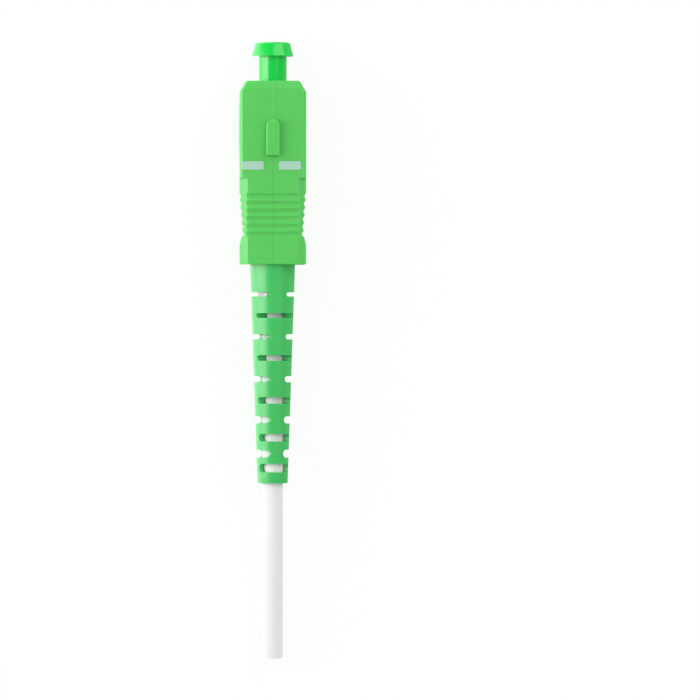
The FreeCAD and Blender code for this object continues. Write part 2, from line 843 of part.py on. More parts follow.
def build_crimp_sleeve():
    body = new_body("crimp_sleeve")
    turn(
        body,
        "drawn_sleeve",
        [
            (crimp_large_bore, crimp_front),
            (size["crimp_large_radius"], crimp_front),
            (size["crimp_large_radius"], crimp_large_rear),
            (crimp_small_radius, crimp_small_front),
            (crimp_small_radius, crimp_rear),
            (crimp_small_bore, crimp_rear),
            (crimp_small_bore, crimp_large_rear),
            (crimp_large_bore, crimp_large_rear),
        ],
    )
    return body


def slot_steps(k):
    """How many first steps ring k lies behind the first ring."""
    late = max(k - int(size["slot_even_steps"].value), 0)
    return k - size["slot_step_loss"] * (late * (late + 1) / 2)


def slot_station(k):
    """The rings of slots are evenly pitched at first, and then each step is a little shorter."""
    first = housing_rear + size["slot_offset"]
    last = boot_rear - size["slot_end_gap"]
    return first + (last - first) * slot_steps(k) / slot_steps(int(size["slot_count"].value) - 1)


def add_slot_pair(sketch, web, half, middle, from_sides):
    """Two slots that face each other and stop short of the axis. From the sides they run along
    X, and otherwise along Z."""
    outside = size["boot_front_radius"] + CUT_MARGIN
    slot = [
        (outside, middle - half),
        (web, middle - half),
        (web, middle + half),
        (outside, middle + half),
    ]
    for side in both_sides(slot):
        add_outline(sketch, side if from_sides else [(c[1], c[0]) for c in side])


def build_boot():
    """A tapered sleeve. Pairs of slots are cut straight through it from two sides, and each
    ring is a quarter turn from the last, so that it bends like a chain."""
    body = new_body("boot")
    lip_front = boot_rear - size["boot_lip"]
    neck_rear = crimp_rear + size["boot_step_gap"]
    neck_front = crimp_small_front + size["boot_step_gap"]
    turn(
        body,
        "tapered_sleeve",
        [
            (boot_bore_front, boot_front),
            (size["boot_front_radius"], boot_front),
            (size["boot_front_radius"], housing_rear),
            (size["boot_end_radius"], boot_rear),
            (size["boot_bore_end"], boot_rear),
            (size["boot_bore_end"], lip_front),
            (size["boot_bore"], lip_front),
            (size["boot_bore"], neck_rear),
            (boot_bore_neck, neck_rear),
            (boot_bore_neck, neck_front),
            (boot_bore_front, neck_front),
        ],
    )
    for k in range(int(size["slot_count"].value)):
        from_sides = k % 2 == 0
        web = size["face_web"] - size["face_web_shrink"] * k
        if from_sides:
            web = size["side_web"] - size["side_web_shrink"] * k
        half = (size["slot_height"] + size["slot_growth"] * k) / 2
        plane = "XY_Plane" if from_sides else "YZ_Plane"
        sketch = new_sketch(body, f"slot_outline_{k + 1}", plane)
        add_slot_pair(sketch, web, half, -slot_station(k), from_sides)
        cut(body, f"slots_{k + 1}", sketch)
    bind(body, "Placement.Rotation.Angle", size["boot_turn"])
    body.Placement.Rotation.Axis = FreeCAD.Vector(0, 1, 0)
    return body


def cable_path(start):
    """Straight runs along the route, from a station, joined by arcs that are tangent to them
    and as large as the shorter run allows."""
    route = [(-start, 0.0)] + CABLE_ROUTE
    points = [FreeCAD.Vector(0, y, z) for y, z in route]
    edges = []
    last = points[0]
    for before, corner, after in zip(points, points[1:], points[2:]):
        back = (before - corner).normalize()
        onward = (after - corner).normalize()
        half_turn = (math.pi - back.getAngle(onward)) / 2
        shorter = min((before - corner).Length, (after - corner).Length)
        trim = BEND_SHARE * shorter
        radius = trim / math.tan(half_turn)
        print(f"cable bend of {math.degrees(2 * half_turn):.1f} degrees, radius {radius:.1f} mm")
        enter = corner + back * trim
        leave = corner + onward * trim
        inward = (back + onward).normalize()
        centre = corner + inward * (radius / math.cos(half_turn))
        halfway = centre - inward * radius
        edges.append(Part.LineSegment(last, enter).toShape())
        edges.append(Part.Arc(enter, halfway, leave).toShape())
        last = leave
    edges.append(Part.LineSegment(last, points[-1]).toShape())
    return Part.Wire(edges)


def sweep_disc(path, radius):
    """A round bar along a path, with its volume checked against section times length."""
    start = path.OrderedVertexes[0].Point
    disc = Part.Wire(Part.makeCircle(radius, start, FreeCAD.Vector(0, -1, 0)))
    bar = path.makePipeShell([disc], True, False)
    expected = math.pi * radius * radius * path.Length
    if abs(bar.Volume - expected) > 0.01 * expected:
        raise RuntimeError("a cable layer's sweep is not its section times its length")
    return bar


def build_cable_jacket():
    """The jacket is a plain bar whose front end is stripped hollow round the yarn."""
    path = cable_path(jacket_front.value)
    start = path.OrderedVertexes[0].Point
    backward = FreeCAD.Vector(0, -1, 0)
    bar = sweep_disc(path, size["jacket_radius"].value)
    depth = (crimp_rear - jacket_front).value
    hollow = Part.makeCylinder(size["jacket_bore"].value, depth, start, backward)
    return new_feature("cable_jacket", bar.cut(hollow))


def build_aramid_yarn():
    """The yarn comes out of the jacket and folds back over the crimp post."""
    body = new_body("aramid_yarn")
    web_front = crimp_post_rear + size["yarn_clearance"]
    web_rear = web_front + size["yarn_fold_wall"]
    fold_inner = size["crimp_post_radius"] + size["yarn_clearance"]
    fold_outer = fold_inner + size["yarn_fold_wall"]
    fold_front = crimp_front + size["yarn_setback"]
    bundle_rear = crimp_rear - size["yarn_clearance"]
    bundle_radius = size["jacket_bore"] - size["yarn_clearance"]
    bundle_bore = size["buffer_radius"] + size["yarn_clearance"]
    turn(
        body,
        "folded_bundle",
        [
            (fold_inner, fold_front),
            (fold_outer, fold_front),
            (fold_outer, web_rear),
            (bundle_radius, web_rear),
            (bundle_radius, bundle_rear),
            (bundle_bore, bundle_rear),
            (bundle_bore, web_front),
            (fold_inner, web_front),
        ],
    )
    return body


def build_tight_buffer():
    body = new_body("tight_buffer")
    front = fibre_rear + size["ferrule_travel"] + size["buffer_gap"]
    rear = crimp_rear - size["yarn_clearance"]
    radius = size["buffer_radius"]
    turn(body, "buffered_fibre", [(0, front), (radius, front), (radius, rear), (0, rear)])
    return body


def build_dust_cap():
    body = new_body("dust_cap")
    top = -size["cap_reach"]
    head_rear = top + size["cap_head_height"]
    inner = size["ferrule_radius"] + size["cap_clearance"]
    turn(
        body,
        "moulded_cap",
        [
            (0, top),
            (size["cap_top_radius"], top),
            (size["cap_rim_radius"], head_rear),
            (size["cap_stem_radius"], head_rear),
            (size["cap_stem_radius"], size["cap_depth"]),
            (inner, size["cap_depth"]),
            (inner, -size["cap_air"]),
            (0, -size["cap_air"]),
        ],
    )
    dress(
        body,
        "Chamfer",
        "top_edge",
        size["cap_top_chamfer"],
        lambda point: at(point.y, size["cap_reach"]) and point.x > 0,
    )
    return body


pieces = [
    build_dust_cap(),
    build_outer_housing(),
    build_plug_frame(),
    build_ferrule(),
    build_glass_fibre(),
    build_ferrule_flange(),
    build_ferrule_spring(),
    build_stop_ring(),
    build_crimp_sleeve(),
    build_boot(),
    build_cable_jacket(),
    build_aramid_yarn(),
    build_tight_buffer(),
]
doc.recompute()

for item in doc.Objects:
    if "Invalid" in item.State or "Error" in item.State:
        raise RuntimeError(f"{item.Label} failed: {item.State}")
for piece in pieces:
    if piece.Shape.isNull() or not piece.Shape.isValid() or not piece.Shape.Solids:
        raise RuntimeError(f"{piece.Label} has no valid solid")

os.makedirs("parts", exist_ok=True)
for piece in pieces:
    piece.Shape.exportStep(f"parts/{piece.Label}.step")
    box = piece.Shape.BoundBox
    print(
        f"{piece.Label}: {len(piece.Shape.Solids)} solid, {piece.Shape.Volume:.3f} mm3, "
        f"x {box.XMin:.3f} to {box.XMax:.3f}, y {box.YMin:.3f} to {box.YMax:.3f}, "
        f"z {box.ZMin:.3f} to {box.ZMax:.3f}"
    )
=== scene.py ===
import math

import bpy
import bmesh
import numpy as np
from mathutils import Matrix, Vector


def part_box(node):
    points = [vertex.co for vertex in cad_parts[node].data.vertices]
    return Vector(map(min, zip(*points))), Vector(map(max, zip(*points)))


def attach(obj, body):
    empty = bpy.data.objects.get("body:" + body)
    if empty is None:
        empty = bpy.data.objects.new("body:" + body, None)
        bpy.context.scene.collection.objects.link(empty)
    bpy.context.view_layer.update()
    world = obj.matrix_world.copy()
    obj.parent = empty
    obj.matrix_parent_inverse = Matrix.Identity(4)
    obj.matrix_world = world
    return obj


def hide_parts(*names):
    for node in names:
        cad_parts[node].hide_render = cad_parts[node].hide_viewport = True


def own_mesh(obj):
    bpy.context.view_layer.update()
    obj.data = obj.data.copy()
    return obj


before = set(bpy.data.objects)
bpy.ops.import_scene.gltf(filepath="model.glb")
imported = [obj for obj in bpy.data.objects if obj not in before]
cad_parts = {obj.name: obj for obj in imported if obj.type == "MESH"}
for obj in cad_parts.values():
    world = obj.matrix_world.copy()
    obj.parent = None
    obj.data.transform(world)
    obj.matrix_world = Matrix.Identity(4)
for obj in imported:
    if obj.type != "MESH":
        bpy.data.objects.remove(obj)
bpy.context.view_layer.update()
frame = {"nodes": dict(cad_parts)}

bl_info = {
    "name": "Fibre Connector",
    "version": (1, 0, 0),
    "blender": (4, 5, 0),
    "location": "View3D > Sidebar > Connector",
    "description": "Finishes a push-pull fibre connector: housing, boot, cap, cable and stage",
    "category": "Object",
}

MM = 0.001

# The connector lies along Y with the ferrule's end face at the origin, the key on +Z and the
# cable towards -Y. A station is a distance behind the ferrule's end face.
HOUSING_LOW, HOUSING_HIGH = (np.array(corner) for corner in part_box("outer_housing"))
FRAME_TOP = max(float(corner[2]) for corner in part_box("plug_frame"))
BOOT_LOW, BOOT_HIGH = (np.array(corner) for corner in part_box("boot"))
CAP_LOW, CAP_HIGH = (np.array(corner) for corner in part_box("dust_cap"))
REST_Z = float(HOUSING_LOW[2])

# The cable's route: (y, z) of each point, in metres.
CABLE_ROUTE = [(-0.0277, 0.0), (-0.0440, 0.0), (-0.0618, -0.00012), (-0.07909, -0.00228)]


def tone(red, green, blue):
    """A colour given in display values from 0 to 255, as the linear numbers that shaders take."""
    return [
        v / 12.92 if v <= 0.04045 else ((v + 0.055) / 1.055) ** 2.4
        for v in (red / 255, green / 255, blue / 255)
    ]


def length(name, description, millimetres):
    """A size that a user may change."""
    return bpy.props.FloatProperty(
        name=name,
        description=description,
        default=millimetres * MM,
        precision=6,
        unit="LENGTH",
    )


def lengths(name, description, metres):
    """Several lengths in metres: a place, or the two sides of a panel."""
    return bpy.props.FloatVectorProperty(
        name=name,
        description=description,
        default=metres,
        size=len(metres),
        precision=3,
        unit="LENGTH",
    )


def angle_of(name, description, degrees):
    """An angle that a user may change."""
    return bpy.props.FloatProperty(
        name=name, description=description, default=math.radians(degrees), subtype="ANGLE"
    )


def plain_number(name, description, default):
    """A number without a unit, such as a share, a count of turns or a light's level."""
    return bpy.props.FloatProperty(name=name, description=description, default=default)


def colour(name, description, default):
    """A colour that a user may change, in linear numbers."""
    return bpy.props.FloatVectorProperty(
        name=name,
        description=description,
        default=default,
        min=0,
        max=1,
        subtype="COLOR",
    )


class HousingSizes(bpy.types.PropertyGroup):
    edge_round: length("Edge round", "Rounding of the housing's moulded edges", 0.14)
    fore_chamfer: length("Fore chamfer", "Long edges in front of the grip", 0.34)
    grip_chamfer: length("Grip chamfer", "Long edges of the grip", 1.05)
    grip_offset: length("Grip offset", "Housing front to the grip", 13.2)
    nose_bevel_width: length("Side bevel width", "Front bevel of the side walls", 0.87)
    nose_bevel_length: length("Side bevel length", "Front bevel of the side walls", 1.55)
    face_bevel_height: length("Face bevel height", "Front bevel of top and bottom", 0.4)
    face_bevel_length: length("Face bevel length", "Front bevel of top and bottom", 0.9)
    waist_offset: length("Waist offset", "Housing front to where the sides draw in", 15.2)
    waist_length: length("Waist length", "Over which the sides draw in", 5.65)
    waist_depth: length("Waist depth", "How far each side draws in", 0.4)
    flare_length: length("Flare length", "Over which the sides swell out again", 1.75)
    rear_round: length("Rear round", "Rounding of the rear outline", 0.2)
    groove_offset: length("Groove offset", "Housing front to the first groove", 15.56)
    groove_pitch: length("Groove pitch", "Between the grip's grooves", 1.035)
    groove_depth: length("Groove depth", "Depth of a groove", 0.18)
    groove_half: length("Groove half width", "Half the width of a groove", 0.36)
    groove_count: bpy.props.IntProperty(
        name="Grooves", description="Grooves across the grip", default=6, min=1
    )
    cavity_half_width: length("Cavity half width", "Inside, across X", 3.85)
    cavity_half_height: length("Cavity half height", "Inside, across Z", 2.95)
    cavity_end: length("Cavity end", "Station where the cavity ends", 19.85)
    boot_bore: length("Boot bore", "Radius of the round opening behind", 3.15)
    boot_bore_front: length("Boot bore front", "Station where that opening starts", 18.9)
    window_offset: length("Window offset", "Housing front to the side window", 3.0)
    window_length: length("Window length", "Side window along Y", 7.0)
    window_height: length("Window height", "Side window across Z", 3.7)
    seam_half: length("Parting line half width", "Witness of the mould's split", 0.05)
    seam_depth: length("Parting line depth", "Witness of the mould's split", 0.006)
    mouth_chamfer: length("Mouth chamfer", "Lead-in of the openings", 0.12)
    recess_half_width: length("Recess half width", "Inside, for the frame's lugs", 1.56)
    recess_front: length("Recess front", "Station of the lug recess", 15.34)
    recess_rear: length("Recess rear", "Station of the lug recess", 18.86)
    key_offset: length("Key offset", "Housing front to the key", 5.2)
    key_length: length("Key length", "Key along Y", 4.9)
    key_half_width: length("Key half width", "Half the key across X", 0.9)
    key_round: length("Key round", "Rounding of the key's upper edge", 0.16)


class MarkSizes(bpy.types.PropertyGroup):
    offset: length("Offset", "Housing front to the marks", 10.9)
    width: length("Width", "Marks along Y", 1.13)
    left_outer: length("Left outer end", "Left mark, which wraps onto the chamfer", -4.24)
    left_inner: length("Left inner end", "Left mark, next to the middle", -1.25)
    right_inner: length("Right inner end", "Right mark, next to the middle", 0.82)
    right_outer: length("Right outer end", "Right mark, short of the edge", 3.78)
    film: length("Film", "Thickness of the paint", 0.012)


class BootSizes(bpy.types.PropertyGroup):
    turn: angle_of("Turn", "How far the boot is turned on the cable", 16.5)
    front_radius: length("Front radius", "At the housing", 3.05)
    end_radius: length("End radius", "At the cable", 2.05)
    bore_front: length("Front bore", "Radius over the crimp sleeve", 2.25)
    bore_neck: length("Neck bore", "Radius over the sleeve's slim end", 1.80)
    bore: length("Bore", "Radius round the cable", 1.68)
    bore_end: length("End bore", "Radius of the lip", 1.55)
    slot_offset: length("Slot offset", "Housing rear to the first ring", 4.04)
    slot_end_gap: length("Slot end gap", "Last ring to the boot's end", 2.055)
    slot_count: bpy.props.IntProperty(
        name="Rings", description="Rings of slots", default=10, min=2
    )
    even_steps: bpy.props.IntProperty(
        name="Even steps", description="First steps that are equal", default=5
    )
    step_loss: plain_number("Step loss", "The share that each later step loses more of", 0.081)
    slot_height: length("Slot height", "First slot along Y", 0.58)
    slot_growth: length("Slot growth", "Each later slot is that much taller", 0.063)
    side_web: length("Side web", "Half the web between the first side slots", 1.16)
    side_web_loss: length("Side web loss", "For each later ring", 0.035)
    face_web: length("Face web", "Half the web that a first face slot would leave", 1.07)
    face_web_loss: length("Face web loss", "For each later ring", 0.058)
    rim_round: length("Rim round", "Rounding of the boot's ends", 0.12)
    slot_round: length("Slot round", "Rounding of the slots' rims", 0.05)


class CapSizes(bpy.types.PropertyGroup):
    head_height: length("Head height", "Head along Y", 1.88)
    top_radius: length("Top radius", "Small end of the head", 2.35)
    rim_radius: length("Rim radius", "Large end of the head", 2.83)
    stem_radius: length("Stem radius", "Stem", 1.9)
    bore: length("Bore", "Radius round the ferrule", 1.27)
    air: length("Air", "Free space in front of the ferrule", 1.2)
    top_round: length("Top round", "Rounding of the head's top", 0.32)
    edge_round: length("Edge round", "Rounding of the other edges", 0.1)


class CoreSizes(bpy.types.PropertyGroup):
    cable_radius: length("Cable radius", "Jacket outside", 1.4)
    yarn_radius: length("Yarn radius", "Yarn inside the jacket", 1.0)
    buffer_radius: length("Buffer radius", "Buffered fibre", 0.45)
    fibre_radius: length("Fibre radius", "Glass fibre", 0.0625)
    ferrule_radius: length("Ferrule radius", "Ceramic ferrule", 1.25)
    tip_radius: length("Tip radius", "Ferrule's end face", 0.7)
    tip_length: length("Tip length", "Cone behind the end face", 0.9)
    ferrule_length: length("Ferrule length", "Along Y", 10.5)
    end_face_angle: angle_of("End face angle", "Slope of the polished end face", 8)
    spring_front: length("Spring front", "Station of the spring's front", 9.42)
    spring_rear: length("Spring rear", "Station of the spring's rear", 15.92)
    spring_radius: length("Spring radius", "To the middle of the wire", 1.9)
    spring_wire: length("Spring wire", "Wire radius", 0.2)
    spring_turns: plain_number("Spring turns", "Turns of the spring", 6.5)
    ferrule_travel: length("Ferrule travel", "How far the ferrule is pushed back", 1.2)


class StageSizes(bpy.types.PropertyGroup):
    floor_reach: length("Floor reach", "Half the floor's side", 20000)
    floor_gap: length("Floor gap", "Under the housing, which stands clear of the floor", 0.02)
    floor_glow: plain_number("Floor glow", "How much of the floor's white is its own", 0.9)
    ambient: plain_number("Ambient", "Light of the room", 0.61)
    mirrored_room: plain_number("Mirrored room", "The room as glossy surfaces mirror it", 0.12)
    mirrored_left: plain_number("Mirrored left floor", "The floor as mirrored on the left", 1.85)
    mirrored_right: plain_number("Mirrored right floor", "The floor as mirrored on the right", 0.4)
    lights_aim: lengths("Lights' aim", "The point that both panels face", (0.0, -0.03, 0.0))
    left_place: lengths("Left place", "Where the left panel stands", (-0.88, 0.1, 0.45))
    left_panel: lengths("Left panel", "Its two sides", (0.55, 1.0))
    left_light: plain_number("Left light", "Radiance of the left panel", 3.6)
    corner_place: lengths("Corner place", "Where the panel at the right front is", (0.7, 0.59, 0.8))
    corner_panel: lengths("Corner panel", "Its two sides", (0.95, 1.2))
    corner_light: plain_number("Corner light", "Radiance of the panel at the right front", 1.45)
    camera_x: length("Camera x", "Where the camera points, across the connector", 10.5)
    camera_y: length("Camera y", "Where the camera points, along the connector", -37.37)
    camera_distance: length("Camera distance", "From the connector's axis", 1000)
    camera_lean: angle_of("Camera lean", "How far the camera looks from the left", 1.5)
    view_width: length("View width", "What the picture shows across at the axis", 94.85)


class Finishes(bpy.types.PropertyGroup):
    housing: colour("Housing", "Moulded housing", tone(99, 211, 102))
    mark: colour("Mark", "Printed marks", tone(173, 212, 194))
    boot: colour("Boot", "Flexible boot", tone(50, 203, 94))
    cap: colour("Cap", "Dust cap", tone(0, 218, 80))
    frame: colour("Frame", "Natural plastic of the plug frame", tone(232, 230, 220))
    jacket: colour("Jacket", "Cable jacket", tone(237, 236, 237))
    yarn: colour("Yarn", "Aramid yarn", tone(222, 190, 84))
    buffer: colour("Buffer", "Tight buffer", tone(242, 242, 238))
    ceramic: colour("Ceramic", "Zirconia ferrule", tone(240, 240, 235))
    steel: colour("Steel", "Spring and flange", tone(200, 200, 202))
    nickel: colour("Nickel", "Plated stop ring", tone(206, 202, 192))
    aluminium: colour("Aluminium", "Crimp sleeve", tone(178, 178, 180))
    floor: colour("Floor", "Plain floor", tone(250, 250, 250))


# ---------------------------------------------------------------------------------------------
# Shapes

# Edges sharper than this many degrees stay sharp. Points nearer than the next length are merged,
# edges shorter than the one after are taken out, and the last keeps divisions away from zero.
SMOOTH_ANGLE = 38
MERGE_DISTANCE = 1e-7
EMPTY_EDGE = 1e-8
TINY = 1e-9

# Cutters reach this far past what they cut, and what lies on a surface is sunk this deep into it.
BEYOND = 1 * MM
SINK = 0.02 * MM

# The most that a softened corner takes of the shorter of its two sides.
CORNER_SHARE = 0.48


def round_angles(count):
    """Angles that divide a full turn evenly."""
    return np.linspace(0, 2 * math.pi, count, endpoint=False)


def grid_faces(rows, columns, wrap_rows=False, first=0):
    """The quads of a grid whose columns close on themselves. Rows close too where asked."""
    row = np.arange(rows if wrap_rows else rows - 1)[:, None]
    column = np.arange(columns)[None, :]
    next_row = (row + 1) % rows
    next_column = (column + 1) % columns
    quads = np.stack(
        [
            row * columns + column,
            row * columns + next_column,
            next_row * columns + next_column,
            next_row * columns + column,
        ],
        axis=-1,
    )
    return (quads.reshape(-1, 4) + first).tolist()


def new_piece(name, points, faces, smooth_angle=SMOOTH_ANGLE):
    """A mesh object with merged seams, closed poles and faces that look outwards."""
    mesh = bpy.data.meshes.new(name)
    mesh.from_pydata(np.asarray(points).reshape(-1, 3).tolist(), [], faces)
    tidy(mesh, smooth_angle)
    piece = bpy.data.objects.new(name, mesh)
    bpy.context.scene.collection.objects.link(piece)
    return piece


def tidy(mesh, smooth_angle):
    """Merges doubles, points the faces outwards and shades all but the sharp edges smooth."""
    form = bmesh.new()
    form.from_mesh(mesh)
    bmesh.ops.remove_doubles(form, verts=form.verts, dist=MERGE_DISTANCE)
    bmesh.ops.dissolve_degenerate(form, edges=form.edges, dist=EMPTY_EDGE)
    bmesh.ops.recalc_face_normals(form, faces=form.faces)
    form.to_mesh(mesh)
    form.free()
    mesh.polygons.foreach_set("use_smooth", [True] * len(mesh.polygons))
    mesh.set_sharp_from_angle(angle=math.radians(smooth_angle))
    mesh.update()


def soften(corners, cut, steps):
    """Closed polygons with softened corners. Each corner C becomes the parabola
    (1-u)^2 A + 2u(1-u) C + u^2 B, where A and B lie the length `cut` before and after C. The
    corners are (..., n, 2), and the result is (..., n * steps, 2)."""
    corners = np.asarray(corners, float)
    before = np.roll(corners, 1, axis=-2) - corners
    after = np.roll(corners, -1, axis=-2) - corners
    before_length = np.linalg.norm(before, axis=-1, keepdims=True)
    after_length = np.linalg.norm(after, axis=-1, keepdims=True)
    cut = np.broadcast_to(np.asarray(cut, float)[..., None], before_length.shape)
    reach = np.minimum(cut, CORNER_SHARE * np.minimum(before_length, after_length))
    start = corners + before / np.maximum(before_length, TINY) * reach
    stop = corners + after / np.maximum(after_length, TINY) * reach
    u = np.linspace(0, 1, steps)[:, None]
    curve = (
        (1 - u) ** 2 * start[..., None, :]
        + 2 * u * (1 - u) * corners[..., None, :]
        + u**2 * stop[..., None, :]
    )
    return curve.reshape(*corners.shape[:-2], -1, 2)


def revolved(name, profile, segments):
    """A closed (radius, y) profile turned about the Y axis: (r cos a, y, r sin a)."""
    profile = np.asarray(profile, float)
    angle = round_angles(segments)
    radius, along = profile[:, :1], profile[:, 1:]
    points = np.stack(
        [radius * np.cos(angle), along + 0 * angle, radius * np.sin(angle)], axis=-1
    )
    return new_piece(name, points, grid_faces(len(profile), segments, wrap_rows=True))


def cut_away(piece, cutter):
    """Takes what the cutter holds out of the piece, and removes the cutter."""
    modifier = piece.modifiers.new("cut", "BOOLEAN")
    modifier.operation = "DIFFERENCE"
    modifier.solver = "EXACT"
    modifier.object = cutter
    view = bpy.context.evaluated_depsgraph_get()
    view.update()
    mesh = bpy.data.meshes.new_from_object(piece.evaluated_get(view))
    piece.modifiers.clear()
    old, piece.data = piece.data, mesh
    name = old.name
    bpy.data.meshes.remove(old)
    mesh.name = name
    bpy.data.objects.remove(cutter)
    tidy(mesh, SMOOTH_ANGLE)
    if not mesh.polygons:
        raise RuntimeError(f"{piece.name} has nothing left")


def block(name, low, high):
    """A cutter in the form of a block, given by its low and high corner."""
    x = np.array([low[0], high[0], high[0], low[0]])
    z = np.array([low[2], low[2], high[2], high[2]])
    points = np.stack([np.stack([x, np.full(4, y), z], axis=-1) for y in (low[1], high[1])])
    return closed_stack(name, points)


def closed_stack(name, loops, smooth_angle=SMOOTH_ANGLE):
    """A closed form through a stack of loops, with a flat end on the first and the last."""
    rows, columns = loops.shape[:2]
    last = (rows - 1) * columns
    faces = grid_faces(rows, columns)
    faces += [list(range(columns))[::-1], list(range(last, last + columns))]
    return new_piece(name, loops, faces, smooth_angle)


def tube_along(name, path, radius, sides):
    """A tube round a path: at each point P with tangent T, the ring is P + r (cos a N + sin a B),
    where B is T x Y made to unit length and N is B x T."""
    path = np.asarray(path, float)
    tangent = np.gradient(path, axis=0)
    tangent /= np.linalg.norm(tangent, axis=1, keepdims=True)
    side = np.cross(tangent, [0.0, 1.0, 0.0])
    side /= np.linalg.norm(side, axis=1, keepdims=True)
    normal = np.cross(side, tangent)
    angle = round_angles(sides)[None, :, None]
    points = path[:, None, :] + radius * (
        np.cos(angle) * normal[:, None, :] + np.sin(angle) * side[:, None, :]
    )
    return closed_stack(name, points)


# ---------------------------------------------------------------------------------------------
# Finishes


class Finish:
    """A procedural material that is built node by node, on Object coordinates in metres."""

    def __init__(self, name):
        self.material = bpy.data.materials.new(name)
        self.material.use_nodes = True
        self.tree = self.material.node_tree
        self.shader = self.tree.nodes["Principled BSDF"]
        self.place = self.tree.nodes.new("ShaderNodeTexCoord").outputs["Object"]

    def set(self, **sockets):
        """Constants on the shader's own sockets."""
        for name, value in sockets.items():
            self.shader.inputs[name.replace("_", " ")].default_value = value

    def feed(self, socket, value):
        """Links a node's output to the socket, or writes a constant there."""
        if isinstance(value, bpy.types.NodeSocket):
            self.tree.links.new(value, socket)
        else:
            socket.default_value = value

    def node(self, kind, **sockets):
        """A new node whose sockets are fed by name."""
        node = self.tree.nodes.new(kind)
        for name, value in sockets.items():
            self.feed(node.inputs[name.replace("_", " ")], value)
        return node

    def axes(self):
        """The Object coordinates one by one, as the outputs X, Y and Z."""
        return self.node("ShaderNodeSeparateXYZ", Vector=self.place).outputs

    def stretched(self, x, y, z):
        """Object coordinates, scaled along each axis."""
        return self.node("ShaderNodeMapping", Vector=self.place, Scale=(x, y, z)).outputs["Vector"]

    def noise(self, size, detail=3.0, place=None):
        """Noise whose features are about `size` across."""
        place = place or self.place
        node = self.node("ShaderNodeTexNoise", Vector=place, Scale=1 / size, Detail=detail)
        return node.outputs["Fac"]

    def spread(self, value, low, high, start=0.3, end=0.7):
        """A value from start to end, spread over low to high. Most noise lies in 0.3 to 0.7."""
        node = self.node(
            "ShaderNodeMapRange", Value=value, From_Min=start, From_Max=end, To_Min=low, To_Max=high
        )
        return node.outputs["Result"]

    def math(self, operation, *values):
        """A sum, product or other operation on outputs and constants."""
        node = self.tree.nodes.new("ShaderNodeMath")
        node.operation = operation
        for socket, value in zip(node.inputs, values):
            self.feed(socket, value)
        return node.outputs[0]

    def blend(self, amount, first, second):
        """The first colour where the amount is 0, and the second where it is 1."""
        node = self.tree.nodes.new("ShaderNodeMix")
        node.data_type = "RGBA"
        colours = [socket for socket in node.inputs if socket.type == "RGBA"]
        self.feed(node.inputs[0], amount)
        for socket, value in zip(colours, (first, second)):
            linked = isinstance(value, bpy.types.NodeSocket)
            self.feed(socket, value if linked else (*value[:3], 1))
        return next(socket for socket in node.outputs if socket.type == "RGBA")

    def mottle(self, pattern, base, darkest, brightest=1.0):
        """The base colour, from darkest to brightest times as bright with the pattern."""
        pattern = self.spread(pattern, 0, 1)
        return self.blend(pattern, shade(base, darkest), shade(base, brightest))

    def paint(self, tint):
        """The surface's colour."""
        self.feed(self.shader.inputs["Base Color"], tint)

    def roughen(self, pattern, smoothest, roughest):
        """The surface's roughness, from smoothest to roughest with the pattern."""
        self.feed(self.shader.inputs["Roughness"], self.spread(pattern, smoothest, roughest))

    def bump(self, height, depth):
        """Lays a height pattern, from 0 to 1, over the surface."""
        node = self.node("ShaderNodeBump", Height=height, Distance=depth)
        self.feed(self.shader.inputs["Normal"], node.outputs["Normal"])


def shade(base, factor):
    """The base colour, so many times as bright."""
    return [min(1.0, channel * factor) for channel in base]


def moulded_plastic(name, base, roughness, grain=0.12 * MM, depth=0.004 * MM, variation=0.03):
    """Moulded plastic: faint flow marks and specks in the tone, a fine spark-eroded grain and a
    slightly uneven gloss."""
    flow_share = 0.7
    uneven = 0.04
    finish = Finish(name)
    flow = finish.noise(3.5 * MM, detail=4, place=finish.stretched(1.0, 0.35, 1.0))
    speck = finish.noise(0.4 * MM, detail=2)
    flow = finish.math("MULTIPLY", flow, flow_share)
    speck = finish.math("MULTIPLY", speck, 1 - flow_share)
    finish.paint(finish.mottle(finish.math("ADD", flow, speck), base, 1 - variation, 1 + variation))
    finish.roughen(finish.noise(1.6 * MM), roughness - uneven, roughness + uneven)
    finish.bump(finish.noise(grain, detail=2), depth)
    return finish


def translucency(depth, weight, reach=(0.25, 1.0, 0.4)):
    """Values for plastic in which light spreads by a depth in metres. The reach is each colour's
    share of it, and green goes furthest in the green plastics."""
    return {
        "Subsurface_Weight": weight,
        "Subsurface_Radius": reach,
        "Subsurface_Scale": depth,
    }


def turned_metal(name, base, roughness):
    """Turned metal: fine rings left by the tool, which run round the connector's axis."""
    finish = Finish(name)
    finish.set(Metallic=1.0)
    rings = finish.noise(0.09 * MM, detail=2, place=finish.stretched(0.04, 1.0, 0.04))
    finish.paint(finish.mottle(finish.noise(1 * MM), base, darkest=0.94))
    finish.roughen(rings, roughness - 0.05, roughness + 0.07)
    finish.bump(rings, 0.003 * MM)
    return finish


def give(piece, finish):
    """Puts one material on every slot of a piece or of a CAD node's object."""
    material = finish.material
    if not piece.material_slots:
        piece.data.materials.append(material)
    for slot in piece.material_slots:
        slot.material = material


def mount_piece(piece, body, finish, replaced=()):
    """Finishes a piece, lets it ride on a body, and hides the CAD nodes it replaces."""
    give(piece, finish)
    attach(piece, body)
    if replaced:
        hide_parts(*replaced)


# ---------------------------------------------------------------------------------------------
# Housing

# The parting line's root, as a share of its width at the surface.
SEAM_ROOT = 0.2

# Rows of points along the housing: a groove's, the flare's, the rounded ends' and the plain ones.
GROOVE_ROWS = 15
FLARE_ROWS = 14
FRONT_ROWS = 5
REAR_ROWS = 7
PLAIN_ROWS = 26

